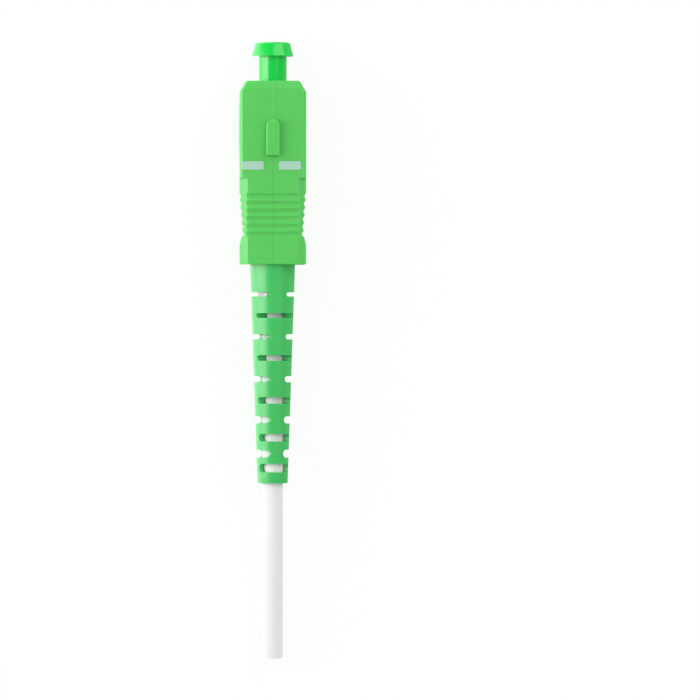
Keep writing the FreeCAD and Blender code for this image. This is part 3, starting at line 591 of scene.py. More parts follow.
# Where they stand: the first plain row, the rounded front that takes none, the lead before the
# flare, the rows beside each bend, and the length of the step at the grip.
FIRST_ROW = 0.35 * MM
FRONT_ZONE = 0.2 * MM
FLARE_LEAD = 0.25 * MM
BEND_SPACING = 0.12 * MM
GRIP_STEP = 0.05 * MM

# The grooves' section is a raised cosine to this power, which makes their floors broad.
GROOVE_FULLNESS = 0.35

# The long edges keep at least this chamfer where the sides draw in.
LEAST_CHAMFER = 0.28 * MM

# Shares of the edge round that the front end and the long edges take.
FRONT_ROUND = 0.8
LONG_EDGE_ROUND = 0.7

# Directions round the axis in which the cavity and the round opening are worked out.
CAVITY_SIDES = 96

# The key: how deep it stands in the housing, its rear corners, and a row of points on its sides.
KEY_FOOT = 0.1 * MM
KEY_CORNER = 0.06 * MM
KEY_SIDE_ROW = 2 * MM
KEY_EDGE_ROWS = 6
KEY_NOSE_POINTS = 25

# The parting line's painted tone changes between these places along Y, under the key: painted shade
# behind, a painted highlight in front.
SEAM_SHADE_TO = -10.5 * MM
SEAM_HIGHLIGHT_FROM = -8.5 * MM

# How far the lug recess lies above and below the frame.
LUG_CLEARANCE = 0.06 * MM


def housing_section(half_width, half_height, limit, seam_half, seam_depth, soft, steps=4):
    """The housing's cross-section at each station: where |x| <= w, |z| <= h and |x| + |z| <= s,
    with a fine groove along the middle of the top and bottom, and soft corners."""
    w, h, s = (np.asarray(v, float) for v in (half_width, half_height, limit))
    high = s - w
    wide = s - h
    seam = np.full_like(w, seam_half)
    root = seam * SEAM_ROOT
    floor = h - seam_depth
    corners = [
        (w, -high), (w, high), (wide, h), (seam, h), (root, floor), (-root, floor), (-seam, h),
        (-wide, h), (-w, high), (-w, -high), (-wide, -h), (-seam, -h), (-root, -floor),
        (root, -floor), (seam, -h), (wide, -h),
    ]
    corners = np.stack([np.stack(corner, axis=-1) for corner in corners], axis=-2)
    return soften(corners, np.full(corners.shape[:-1], soft), steps)


def housing_stations(sizes, total):
    """Stations behind the housing's front, close together where the outline changes."""
    k = np.arange(sizes.groove_count)[:, None]
    across = np.sin(np.linspace(-math.pi / 2, math.pi / 2, GROOVE_ROWS))[None, :]
    middle = sizes.groove_offset + sizes.groove_pitch * k
    grooves = (middle + across * sizes.groove_half).ravel()
    narrow = sizes.waist_offset + sizes.waist_length
    flare = np.linspace(narrow - FLARE_LEAD, narrow + sizes.flare_length, FLARE_ROWS)
    bends = np.array([sizes.face_bevel_length, sizes.nose_bevel_length, sizes.waist_offset])
    bends = bends[:, None] + np.array([-1, 0, 1]) * BEND_SPACING
    steps = sizes.grip_offset + np.array([-1, 0]) * GRIP_STEP
    last = total - sizes.rear_round
    plain = np.linspace(FIRST_ROW, last, PLAIN_ROWS)
    every = np.concatenate([grooves, flare, bends.ravel(), steps, plain])
    return np.unique(np.round(every[(every > FRONT_ZONE) & (every < last)], 8))


def housing_limits(sizes, station):
    """Half width, half height and corner limit of the housing at stations behind its front. The
    bevels and the waist are ramps, the swell behind the waist is an arc of a circle, and each
    groove is a power of a raised cosine."""
    full_width = HOUSING_HIGH[0]
    full_height = -REST_Z
    bevel = np.clip(1 - station / sizes.nose_bevel_length, 0, None) * sizes.nose_bevel_width
    drop = np.clip(1 - station / sizes.face_bevel_length, 0, None) * sizes.face_bevel_height

    draw = np.clip((station - sizes.waist_offset) / sizes.waist_length, 0, 1) * sizes.waist_depth
    narrow = sizes.waist_offset + sizes.waist_length
    swell_end = narrow + sizes.flare_length
    radius = (sizes.flare_length**2 + sizes.waist_depth**2) / (2 * sizes.waist_depth)
    to_end = np.clip(swell_end - station, 0, sizes.flare_length)
    swell = radius - np.sqrt(radius**2 - to_end**2)
    waist = np.where(station <= narrow, draw, swell)

    k = np.arange(sizes.groove_count)[:, None]
    middle = sizes.groove_offset + sizes.groove_pitch * k
    near = np.clip(np.abs(station[None, :] - middle) / sizes.groove_half, 0, 1)
    groove = ((0.5 + 0.5 * np.cos(math.pi * near)) ** GROOVE_FULLNESS).max(axis=0)

    chamfer = np.where(station < sizes.grip_offset, sizes.fore_chamfer, sizes.grip_chamfer)
    half_width = full_width - bevel - waist - sizes.groove_depth * groove
    half_height = full_height - drop - sizes.groove_depth * groove
    limit = np.minimum(
        full_width + full_height - chamfer, half_width + half_height - LEAST_CHAMFER
    )
    return half_width, half_height, limit


def rolled_edge(amount, steps):
    """(inset, depth) along a quarter circle, from the face inwards to the side."""
    turn = np.linspace(0, math.pi / 2, steps)
    return amount * (1 - np.sin(turn)), amount * (1 - np.cos(turn))


def housing_outside(sizes):
    """The outer sections from front to rear, drawn in along a quarter circle at both ends."""
    front = HOUSING_HIGH[1]
    total = HOUSING_HIGH[1] - HOUSING_LOW[1]
    soft = sizes.edge_round
    inset_front, depth_front = rolled_edge(soft * FRONT_ROUND, FRONT_ROWS)
    inset_rear, depth_rear = rolled_edge(sizes.rear_round, REAR_ROWS)
    middle = housing_stations(sizes, total)
    station = np.concatenate([depth_front, middle, (total - depth_rear)[::-1]])
    inset = np.concatenate([inset_front, 0 * middle, inset_rear[::-1]])
    half_width, half_height, limit = housing_limits(sizes, station)
    loops = housing_section(
        half_width - inset,
        half_height - inset,
        limit - inset * math.sqrt(2),
        sizes.seam_half,
        sizes.seam_depth,
        soft * LONG_EDGE_ROUND,
    )
    y = np.broadcast_to((front - station)[:, None], loops.shape[:-1])
    return np.stack([loops[..., 0], y, loops[..., 1]], axis=-1)


def housing_inside(sizes):
    """The cavity from in front of the housing back to its end, and the round opening that starts
    in it and goes on behind it. In the direction a from the axis the cavity reaches
    min(w / |cos a|, h / |sin a|), and where both are it is the larger of that and the radius."""
    front, rear = HOUSING_HIGH[1], HOUSING_LOW[1]
    half_x, half_z = sizes.cavity_half_width, sizes.cavity_half_height
    corner = math.atan2(half_z, half_x)
    corners = [corner, math.pi - corner, math.pi + corner, 2 * math.pi - corner]
    angle = np.unique(np.concatenate([round_angles(CAVITY_SIDES), corners]))
    cos, sin = np.cos(angle), np.sin(angle)
    chamfer = sizes.mouth_chamfer

    def section(grow):
        return np.minimum(
            (half_x + grow) / np.maximum(np.abs(cos), TINY),
            (half_z + grow) / np.maximum(np.abs(sin), TINY),
        )

    circle = np.ones_like(angle) * sizes.boot_bore
    both = np.maximum(section(0), circle)
    start, end = -sizes.boot_bore_front, -sizes.cavity_end
    reach = np.stack(
        [
            section(chamfer + BEYOND), section(0), section(0), both, both, circle, circle,
            circle + chamfer + BEYOND,
        ]
    )
    y = np.array(
        [front + BEYOND, front - chamfer, start, start, end, end, rear + chamfer, rear - BEYOND]
    )
    y = np.broadcast_to(y[:, None], reach.shape)
    return np.stack([reach * cos, y, reach * sin], axis=-1)


def key_form(sizes):
    """The key: its outline, round in front and square behind, drawn in along a quarter circle
    towards the top."""
    front = HOUSING_HIGH[1] - sizes.key_offset
    rear = front - sizes.key_length
    inset, depth = rolled_edge(sizes.key_round, KEY_EDGE_ROWS)
    inset = np.concatenate([[0.0], inset[::-1]])[:, None]
    height = np.concatenate([[-REST_Z - KEY_FOOT], HOUSING_HIGH[2] - depth[::-1]])[:, None]
    angle = np.linspace(0, math.pi, KEY_NOSE_POINTS)[None, :]
    radius = sizes.key_half_width - inset
    centre_y = front - sizes.key_half_width
    base = rear + inset
    side_x = np.concatenate([-radius, -radius, -radius + KEY_CORNER], axis=1)
    side_y = np.concatenate([base + KEY_SIDE_ROW, base + KEY_CORNER, base], axis=1)
    x = np.concatenate([radius * np.cos(angle), side_x, -side_x[:, ::-1]], axis=1)
    y = np.concatenate([centre_y + radius * np.sin(angle), side_y, side_y[:, ::-1]], axis=1)
    return np.stack([x, y, np.broadcast_to(height, x.shape)], axis=-1)


def housing_finish(base, sizes):
    """Satin moulded plastic with the mould's parting line, whose colour is a painted highlight in
    front and painted shade
    towards the grip: in x the line is a hat, and along y its two tones meet at the key."""
    finish = moulded_plastic("housing_plastic", base, roughness=0.34)
    axes = finish.axes()
    away = finish.math("ABSOLUTE", axes["X"])
    strength = 0.45
    inner, outer = sizes.seam_half * 0.5, sizes.seam_half * 1.6
    seam = finish.spread(away, strength, 0, start=inner, end=outer)
    forward = finish.spread(axes["Y"], 0, 1, start=SEAM_SHADE_TO, end=SEAM_HIGHLIGHT_FROM)
    # Painted light: the parting line is painted shade behind the key and a painted highlight in
    # front of it.
    painted_seam_shade, painted_seam_highlight = shade(base, 0.72), shade(base, 1.3)
    line = finish.blend(forward, painted_seam_shade, painted_seam_highlight)
    plain = finish.shader.inputs["Base Color"].links[0].from_socket
    finish.paint(finish.blend(seam, plain, line))
    finish.set(IOR=1.5, Specular_IOR_Level=0.78, **translucency(0.8 * MM, 0.8))
    return finish


class CONNECTOR_OT_housing(bpy.types.Operator):
    """Builds the push-pull housing with its key, grip grooves and side windows"""

    bl_idname = "connector.housing"
    bl_label = "Housing"

    def execute(self, context):
        sizes = context.scene.connector_housing
        shell = closed_stack("housing_shell", housing_outside(sizes))
        cut_away(shell, closed_stack("housing_cavity", housing_inside(sizes)))
        window_front = HOUSING_HIGH[1] - sizes.window_offset
        window_rear = window_front - sizes.window_length
        window_half = sizes.window_height / 2
        outside = HOUSING_HIGH[0] + BEYOND
        low, high = (-outside, window_rear, -window_half), (outside, window_front, window_half)
        cut_away(shell, block("windows", low, high))
        recess = FRAME_TOP + LUG_CLEARANCE
        low = (-sizes.recess_half_width, -sizes.recess_rear, -recess)
        high = (sizes.recess_half_width, -sizes.recess_front, recess)
        cut_away(shell, block("lug_recess", low, high))
        finish = housing_finish(context.scene.connector_finishes.housing, sizes)
        mount_piece(shell, "grip", finish, ["outer_housing"])
        key = closed_stack("housing_key", key_form(sizes), smooth_angle=50)
        mount_piece(key, "grip", finish)
        return {"FINISHED"}


# The marks' grid, and how much of the housing's green their paint hides.
MARK_COLUMNS = 61
MARK_ROWS = 25
PAINT_COVER = 0.82


def mark_film(sizes, housing, low, high):
    """A film that follows the housing's face and chamfer: z = min(h, s - |x|) plus the film, which
    rises from its edge as the square root of the way in. Its rectangle is given in x and y."""
    face = -REST_Z
    limit = HOUSING_HIGH[0] + face - housing.fore_chamfer
    front = HOUSING_HIGH[1] - sizes.offset
    x = np.linspace(low, high, MARK_COLUMNS)[:, None]
    y = np.linspace(front - sizes.width, front, MARK_ROWS)[None, :]
    edge = np.minimum(np.minimum(x - low, high - x), np.minimum(y - front + sizes.width, front - y))
    rise = sizes.film * np.clip(edge / (2 * sizes.film), 0, 1) ** 0.5
    surface = np.minimum(face, limit - np.abs(x))
    top = np.stack([x + 0 * y, y + 0 * x, surface + rise], axis=-1)
    under = np.stack([x + 0 * y, y + 0 * x, surface - SINK + 0 * y], axis=-1)
    return np.concatenate([top, under[:, ::-1]], axis=1)


class CONNECTOR_OT_marks(bpy.types.Operator):
    """Prints the two pale bars beside the key"""

    bl_idname = "connector.marks"
    bl_label = "Marks"

    def execute(self, context):
        sizes = context.scene.connector_marks
        base = context.scene.connector_finishes.mark
        finish = Finish("mark_paint")
        green = context.scene.connector_finishes.housing
        thin = [PAINT_COVER * m + (1 - PAINT_COVER) * g for m, g in zip(base, green)]
        worn = finish.spread(finish.noise(0.5 * MM, detail=4), 0, 1, start=0.35, end=0.75)
        finish.paint(finish.blend(worn, base, thin))
        finish.roughen(finish.noise(0.8 * MM), 0.42, 0.56)
        finish.bump(finish.noise(0.1 * MM, detail=2), 0.003 * MM)
        housing = context.scene.connector_housing
        ends = {
            "mark_left": (sizes.left_outer, sizes.left_inner),
            "mark_right": (sizes.right_inner, sizes.right_outer),
        }
        for name, (low, high) in ends.items():
            bar = closed_stack(name, mark_film(sizes, housing, low, high))
            mount_piece(bar, "grip", finish)
        return {"FINISHED"}


# ---------------------------------------------------------------------------------------------
# Boot

# The bore is narrow between these places along Y, round the crimp sleeve's slim end, and again
# in the lip at the boot's end.
NECK_FRONT = -28.7 * MM
NECK_REAR = -32.3 * MM
LIP_LENGTH = 0.7 * MM

# Roundings of the bore's steps and of the shoulder, where the taper starts behind the housing.
BORE_ROUND = 0.03 * MM
SHOULDER_ROUND = 0.8 * MM

# Sides round the boot, rows over each rounded corner, and points over a slot's half-round end.
BOOT_SIDES = 120
BOOT_CORNER_ROWS = 5
SLOT_END_POINTS = 13

# Edges sharper than this many degrees are rounded once the slots are cut.
SLOT_RIM_ANGLE = 50


def boot_profile(sizes):
    """(radius, y) corners of the boot: outside from the front to the lip, then the stepped bore
    back to the front."""
    front, rear = BOOT_HIGH[1], BOOT_LOW[1]
    housing_rear = HOUSING_LOW[1]
    lip = rear + LIP_LENGTH
    return np.array(
        [
            (sizes.bore_front, front),
            (sizes.front_radius, front),
            (sizes.front_radius, housing_rear),
            (sizes.end_radius, rear),
            (sizes.bore_end, rear),
            (sizes.bore_end, lip),
            (sizes.bore, lip),
            (sizes.bore, NECK_REAR),
            (sizes.bore_neck, NECK_REAR),
            (sizes.bore_neck, NECK_FRONT),
            (sizes.bore_front, NECK_FRONT),
        ]
    )


def slot_rings(sizes):
    """For each ring of slots: y, half height, half web and whether it is cut from the sides. The
    steps are equal at first, and then each is a little shorter."""
    k = np.arange(sizes.slot_count)
    late = np.clip(k - sizes.even_steps, 0, None)
    steps = k - sizes.step_loss * late * (late + 1) / 2
    first = HOUSING_LOW[1] - sizes.slot_offset
    last = BOOT_LOW[1] + sizes.slot_end_gap
    middle = first + (last - first) * steps / steps[-1]
    half = (sizes.slot_height + sizes.slot_growth * k) / 2
    from_sides = k % 2 == 0
    web = np.where(
        from_sides,
        sizes.side_web - sizes.side_web_loss * k,
        sizes.face_web - sizes.face_web_loss * k,
    )
    return middle, half, web, from_sides


def slot_cutter(sizes):
    """Rods with a half-round inner end, two to each ring, one from each side of the cable."""
    middle, half, web, from_sides = slot_rings(sizes)
    turn = np.linspace(-math.pi / 2, math.pi / 2, SLOT_END_POINTS)
    end_across = 1 - np.cos(turn)
    end_along = np.sin(turn)
    outside = sizes.front_radius + BEYOND
    rounded = web[:, None] + half[:, None] * end_across
    across = np.concatenate([rounded, np.full((len(web), 2), outside)], axis=1)
    along = middle[:, None] + half[:, None] * np.concatenate([end_along, [1.0, -1.0]])
    side = np.array([1.0, -1.0])[:, None, None]
    across = side * across[None]
    along = np.broadcast_to(along[None], across.shape)
    through = np.array([-1.0, 1.0])[:, None] * outside
    across = np.broadcast_to(across[:, :, None, :], (*across.shape[:2], 2, across.shape[2]))
    along = np.broadcast_to(along[:, :, None, :], across.shape)
    through = np.broadcast_to(through, across.shape)
    sides = from_sides[None, :, None, None]
    points = np.stack(
        [np.where(sides, across, through), along, np.where(sides, through, across)], axis=-1
    )
    columns = points.shape[3]
    faces = []
    for number in range(points.shape[0] * points.shape[1]):
        first = number * 2 * columns
        faces += grid_faces(2, columns, first=first)
        faces += [
            list(range(first, first + columns))[::-1],
            list(range(first + columns, first + 2 * columns)),
        ]
    return new_piece("slot_cutter", points, faces)


def turn_about_axis(piece, angle):
    """Turns a mesh about the Y axis: x' = x cos a + z sin a, z' = z cos a - x sin a."""
    mesh = piece.data
    points = np.empty(len(mesh.vertices) * 3)
    mesh.vertices.foreach_get("co", points)
    x, y, z = points.reshape(-1, 3).T
    turned = np.stack(
        [x * math.cos(angle) + z * math.sin(angle), y, z * math.cos(angle) - x * math.sin(angle)],
        axis=-1,
    )
    mesh.vertices.foreach_set("co", turned.ravel())
    mesh.update()


class CONNECTOR_OT_boot(bpy.types.Operator):
    """Builds the tapered boot with its crossed rings of round-ended slots"""

    bl_idname = "connector.boot"
    bl_label = "Boot"

    def execute(self, context):
        sizes = context.scene.connector_boot
        corners = boot_profile(sizes)
        front_rim, shoulder, end_rim, lip_rim = 1, 2, 3, 4
        cut = np.full(len(corners), BORE_ROUND)
        cut[[front_rim, end_rim, lip_rim]] = sizes.rim_round
        cut[shoulder] = SHOULDER_ROUND
        boot = revolved("boot_sleeve", soften(corners, cut, BOOT_CORNER_ROWS), BOOT_SIDES)
        cut_away(boot, slot_cutter(sizes))
        turn_about_axis(boot, sizes.turn)
        rim = boot.modifiers.new("slot_rims", "BEVEL")
        rim.width = sizes.slot_round
        rim.segments = 2
        rim.limit_method = "ANGLE"
        rim.angle_limit = math.radians(SLOT_RIM_ANGLE)
        base = context.scene.connector_finishes.boot
        finish = moulded_plastic(
            "boot_elastomer", base, 0.39, grain=0.16 * MM, depth=0.007 * MM, variation=0.04
        )
        finish.set(IOR=1.58, Specular_IOR_Level=1.0, **translucency(0.6 * MM, 0.4))
        mount_piece(boot, "plug", finish, ["boot"])
        return {"FINISHED"}


# ---------------------------------------------------------------------------------------------
# Dust cap

# Sides round the cap, and rows over each rounded corner.
CAP_SIDES = 128
CAP_CORNER_ROWS = 8


def cap_profile(sizes):
    """(radius, y) corners of the cap: over the tapered head, down the stem and up the bore."""
    top, bottom = CAP_HIGH[1], CAP_LOW[1]
    neck = top - sizes.head_height
    return np.array(
        [
            (0.0, top),
            (sizes.top_radius, top),
            (sizes.rim_radius, neck),
            (sizes.stem_radius, neck),
            (sizes.stem_radius, bottom),
            (sizes.bore, bottom),
            (sizes.bore, sizes.air),
            (0.0, sizes.air),
        ]
    )


class CONNECTOR_OT_dust_cap(bpy.types.Operator):
    """Builds the soft cap over the ferrule: a tapered head on a hollow stem"""

    bl_idname = "connector.dust_cap"
    bl_label = "Dust cap"

    def execute(self, context):
        sizes = context.scene.connector_cap
        corners = cap_profile(sizes)
        top_edge, ends_on_axis = 1, [0, -1]
        cut = np.full(len(corners), sizes.edge_round)
        cut[top_edge] = sizes.top_round
        cut[ends_on_axis] = 0
        cap = revolved("dust_cap_moulding", soften(corners, cut, CAP_CORNER_ROWS), CAP_SIDES)
        finish = Finish("cap_polyethylene")
        base = context.scene.connector_finishes.cap
        finish.paint(finish.mottle(finish.noise(2.2 * MM), base, 0.96, 1.04))
        finish.roughen(finish.noise(1.2 * MM), 0.21, 0.26)
        finish.bump(finish.noise(0.6 * MM, detail=2), 0.005 * MM)
        finish.set(IOR=1.5, Specular_IOR_Level=0.95, **translucency(1.2 * MM, 0.8))
        mount_piece(cap, "cap", finish, ["dust_cap"])
        return {"FINISHED"}


# ---------------------------------------------------------------------------------------------
# Cable

# The painted light on the jacket under the boot fades out this far before and behind the boot's end.
UNDER_BOOT_FADE = 0.3 * MM

# The cut end: its dome falls with this power of the way out, and its ripples twist by so many
# radians and cross so many times between middle and edge.
DOME_POWER = 8
RIPPLE_TWIST = 9
RIPPLE_CROSSINGS = 7


def jacket_finish(base):
    """Extruded jacket: smooth round the cable, with faint lines drawn along it, and painted lighter
    under the boot as painted light in its slots."""
    finish = Finish("cable_jacket_plastic")
    lines = finish.noise(0.25 * MM, place=finish.stretched(1.0, 0.03, 1.0))
    jacket_tone = finish.mottle(finish.noise(4 * MM), base, darkest=0.985)
    # Painted light: under the boot the jacket is painted brighter than its own tone.
    painted_light_tone = shade(base, 1.14)
    boot_end = float(BOOT_LOW[1])
    under_boot = finish.spread(
        finish.axes()["Y"], 0, 1, start=boot_end - UNDER_BOOT_FADE, end=boot_end + UNDER_BOOT_FADE
    )
    finish.paint(finish.blend(under_boot, jacket_tone, painted_light_tone))
    finish.roughen(lines, 0.5, 0.6)
    finish.bump(lines, 0.004 * MM)
    finish.set(Specular_IOR_Level=0.12, **translucency(0.3 * MM, 0.25, reach=(1.0, 1.0, 1.0)))
    return finish


def end_frame():
    """The cut end's middle, the direction out of it and two directions across it."""
    before, last = (np.array((0.0, *point)) for point in CABLE_ROUTE[-2:])
    out = (last - before) / np.linalg.norm(last - before)
    across = np.array([1.0, 0.0, 0.0])
    return last, out, across, np.cross(out, across)


def end_form(name, radius, height, columns, rows, ripple=0.0, wave=0):
    """A low dome on the cable's cut end. At the share q of its radius and the angle a its height is
    h (1 - q^8), plus a ripple q (1 - q^8) cos(w a + 9 q) cos(7 pi q) of w waves round the middle."""
    middle, out, across, upright = end_frame()
    share = np.linspace(1, 0, rows)[:, None]
    angle = round_angles(columns)[None, :]
    dome = 1 - share**DOME_POWER
    bundle = np.cos(wave * angle + RIPPLE_TWIST * share)
    bundle = bundle * np.cos(RIPPLE_CROSSINGS * math.pi * share)
    rise = height * dome + 0 * angle + ripple * bundle * share * dome
    rise = np.concatenate([np.full((1, columns), -SINK), rise])
    share = np.concatenate([[[1.0]], share])
    points = (
        middle
        + out * rise[..., None]
        + radius * share[..., None] * (
            np.cos(angle)[..., None] * across + np.sin(angle)[..., None] * upright
        )
    )
    faces = grid_faces(rows + 1, columns) + [list(range(columns))]
    return new_piece(name, points, faces, smooth_angle=60)


class CONNECTOR_OT_cable(bpy.types.Operator):
    """Lays the cable through the boot and down to its square cut end"""

    bl_idname = "connector.cable"
    bl_label = "Cable"

    def execute(self, context):
        sizes = context.scene.connector_core
        colours = context.scene.connector_finishes
        curve = bpy.data.curves.new("cable_line", "CURVE")
        curve.dimensions = "3D"
        spline = curve.splines.new("NURBS")
        spline.points.add(len(CABLE_ROUTE) - 1)
        for point, (y, z) in zip(spline.points, CABLE_ROUTE):
            point.co = (0.0, y, z, 1.0)
        spline.order_u = 3
        spline.use_endpoint_u = True
        spline.resolution_u = 24
        spline.use_smooth = True
        curve.bevel_depth = sizes.cable_radius
        curve.bevel_resolution = 14
        curve.use_fill_caps = True
        cable = bpy.data.objects.new("cable_line", curve)
        context.scene.collection.objects.link(cable)
        mount_piece(cable, "plug", jacket_finish(colours.jacket), ["cable_jacket"])

        yarn = end_form(
            "cut_yarn", sizes.yarn_radius, 0.05 * MM, columns=144, rows=40, ripple=0.03 * MM, wave=11
        )
        mount_piece(yarn, "plug", yarn_finish(colours.yarn))
        tight = end_form("cut_buffer", sizes.buffer_radius, 0.09 * MM, columns=64, rows=12)
        tight_finish = moulded_plastic("cut_buffer_plastic", colours.buffer, 0.4)
        mount_piece(tight, "plug", tight_finish)
        glass = end_form("cut_fibre", sizes.fibre_radius, 0.1 * MM, columns=32, rows=6)
        mount_piece(glass, "plug", glass_finish())

        return {"FINISHED"}


def yarn_finish(base):
    """Yellow aramid: many fine strands with a silky sheen."""
    finish = Finish("aramid_strands")
    strands = finish.noise(0.06 * MM, place=finish.stretched(1.0, 0.15, 1.0))
    finish.paint(finish.mottle(strands, base, 0.55, 1.1))
    finish.roughen(strands, 0.45, 0.75)
    finish.bump(strands, 0.03 * MM)
    finish.set(Sheen_Weight=0.3)
    return finish


def glass_finish():
    """The fibre's glass: a polished bluish grey with faint clouds."""
    finish = Finish("fibre_silica")
    cloud = finish.noise(0.04 * MM, detail=1)
    dim, bright = (0.62, 0.7, 0.75), (0.8, 0.86, 0.9)
    finish.paint(finish.blend(finish.spread(cloud, 0, 1), dim, bright))
    finish.roughen(cloud, 0.05, 0.12)
    finish.bump(cloud, 0.001 * MM)
    return finish


# ---------------------------------------------------------------------------------------------
# Inside

# The polished tip's edge lies this far behind its middle. Then the rounding of each corner of the
# ferrule's profile, from the middle of the tip to the middle of the rear.
TIP_EDGE = 0.12 * MM
FERRULE_ROUNDS = np.array([0, 0.02, 0.03, 0.12, 0.1, 0]) * MM
FERRULE_SIDES = 96
FERRULE_CORNER_ROWS = 6

# The spring: points to a turn, sides of its wire, and the share of the wire that is drawn, so that
# its coils stay clear of what they seat on.
POINTS_PER_TURN = 48
WIRE_SIDES = 16
WIRE_SHARE = 0.97


def ferrule_form(sizes):
    """The ferrule: a turned profile whose front leans. y falls by tan(angle) z at the tip, and by
    less and less down the cone."""
    tip, radius = sizes.tip_radius, sizes.ferrule_radius
    rear = -sizes.ferrule_length
    corners = np.array(
        [
            (0.0, 0.0), (tip, 0.0), (tip, -TIP_EDGE), (radius, -sizes.tip_length),
            (radius, rear), (0.0, rear),
        ]
    )
    profile = soften(corners, FERRULE_ROUNDS, FERRULE_CORNER_ROWS)
    angle = round_angles(FERRULE_SIDES)
    across, along = profile[:, :1], profile[:, 1:]
    x, z = across * np.cos(angle), across * np.sin(angle)
    lean = np.clip(1 + along / sizes.tip_length, 0, 1)
    y = along - math.tan(sizes.end_face_angle) * z * lean
    return np.stack([x, y, z], axis=-1)


def ceramic_finish(base):
    """Polished zirconia with faint clouds."""
    finish = Finish("zirconia")
    finish.paint(finish.mottle(finish.noise(1 * MM), base, darkest=0.97))
    finish.roughen(finish.noise(0.4 * MM), 0.1, 0.18)
    finish.bump(finish.noise(0.08 * MM), 0.0006 * MM)
    return finish


def spring_path(sizes):
    """The wire's middle line, a helix: (R cos a, -(front + climb * turns / all turns), R sin a)."""
    count = int(sizes.spring_turns * POINTS_PER_TURN)
    turns = np.linspace(0, sizes.spring_turns, count)
    angle = 2 * math.pi * turns
    climb = sizes.spring_rear - sizes.spring_front - 2 * sizes.spring_wire
    return np.stack(
        [
            sizes.spring_radius * np.cos(angle),
            -(sizes.spring_front + sizes.spring_wire + climb * turns / sizes.spring_turns),
            sizes.spring_radius * np.sin(angle),
        ],
        axis=-1,
    )


class CONNECTOR_OT_ferrule(bpy.types.Operator):
    """Builds the ceramic ferrule and its spring, and finishes its flange and fibre"""

    bl_idname = "connector.ferrule"
    bl_label = "Ferrule and spring"

    def execute(self, context):
        sizes = context.scene.connector_core
        colours = context.scene.connector_finishes
        form = ferrule_form(sizes)
        faces = grid_faces(*form.shape[:2])
        ferrule = new_piece("ferrule_ceramic", form, faces, smooth_angle=30)
        ceramic = ceramic_finish(colours.ceramic)
        mount_piece(ferrule, "ferrule_unit", ceramic, ["ferrule"])

        wire = sizes.spring_wire * WIRE_SHARE
        coil = tube_along("spring_coil", spring_path(sizes), wire, WIRE_SIDES)
        steel = turned_metal("spring_steel", colours.steel, 0.28)
        mount_piece(coil, "plug", steel, ["ferrule_spring"])
        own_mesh(coil)

        nodes = frame["nodes"]
        give(nodes["ferrule_flange"], turned_metal("flange_steel", colours.steel, 0.3))
        give(nodes["glass_fibre"], glass_finish())
        return {"FINISHED"}


class CONNECTOR_OT_inner_parts(bpy.types.Operator):
    """Finishes the plug frame, stop ring, crimp sleeve, yarn and buffer"""

    bl_idname = "connector.inner_parts"
    bl_label = "Inner parts"

    def execute(self, context):
        colours = context.scene.connector_finishes
        nodes = frame["nodes"]
        natural = moulded_plastic("frame_plastic", colours.frame, 0.42, variation=0.02)
        give(nodes["plug_frame"], natural)
        give(nodes["stop_ring"], turned_metal("plated_brass", colours.nickel, 0.26))
        give(nodes["crimp_sleeve"], turned_metal("drawn_aluminium", colours.aluminium, 0.4))
        give(nodes["aramid_yarn"], yarn_finish(colours.yarn))
        give(nodes["tight_buffer"], moulded_plastic("buffer_plastic", colours.buffer, 0.4))
        return {"FINISHED"}


# ---------------------------------------------------------------------------------------------
# Stage

# The camera's sensor, in the millimetres that Blender takes, and where its sight starts.
SENSOR_WIDTH = 36.0
NEAREST_SEEN = 10 * MM

# The mirrored floor changes from its left to its right level this far to each side of the axis.
MIRROR_FADE = 3 * MM


def add_panel_light(name, place, aim, size, radiance):
    """A soft light that faces a point. The power that gives a radiance is radiance x pi x area."""
    lamp = bpy.data.lights.new(name, "AREA")
    lamp.shape = "RECTANGLE"
    lamp.size, lamp.size_y = size
    lamp.energy = radiance * math.pi * size[0] * size[1]
    light = bpy.data.objects.new(name, lamp)
    light.location = place
    light.rotation_euler = (Vector(aim) - Vector(place)).to_track_quat("-Z", "Y").to_euler()
    bpy.context.scene.collection.objects.link(light)


def floor_material(base, glow, left, right):
    """Pale paper. Camera and glass rays see it nearly white with the object's shadow on it. It is
    mirrored brighter on the left, where the light is, and to all other rays it is matt paper."""
    finish = Finish("floor_paper")
    finish.set(Base_Color=(*base, 1), Roughness=0.9, Specular_IOR_Level=0.0)

    def mix(amount, first, second):
        node = finish.tree.nodes.new("ShaderNodeMixShader")
        for socket, value in zip(node.inputs, (amount, first, second)):
            finish.feed(socket, value)
        return node.outputs[0]

    paper = finish.shader.outputs[0]
    veil = mix(glow, paper, finish.node("ShaderNodeEmission").outputs[0])
    path = finish.node("ShaderNodeLightPath").outputs
    seen = finish.math("MAXIMUM", path["Is Camera Ray"], path["Is Transmission Ray"])
    fall = finish.spread(finish.axes()["X"], left, right, start=-MIRROR_FADE, end=MIRROR_FADE)
    mirrored = finish.node("ShaderNodeEmission", Strength=fall)
    surface = paper
    for amount, other in ((seen, veil), (path["Is Glossy Ray"], mirrored.outputs[0])):
        surface = mix(amount, surface, other)
    finish.feed(finish.tree.nodes["Material Output"].inputs["Surface"], surface)
    return finish.material


def lay_floor(scene, stage):
    """A plain square floor just under the housing."""
    reach = stage.floor_reach
    mesh = bpy.data.meshes.new("floor")
    corners = [(-reach, -reach), (reach, -reach), (reach, reach), (-reach, reach)]
    under = REST_Z - stage.floor_gap
    mesh.from_pydata([(x, y, under) for x, y in corners], [], [(0, 1, 2, 3)])
    base = scene.connector_finishes.floor
    paper = floor_material(base, stage.floor_glow, stage.mirrored_left, stage.mirrored_right)
    mesh.materials.append(paper)
    floor = bpy.data.objects.new("floor", mesh)
    scene.collection.objects.link(floor)


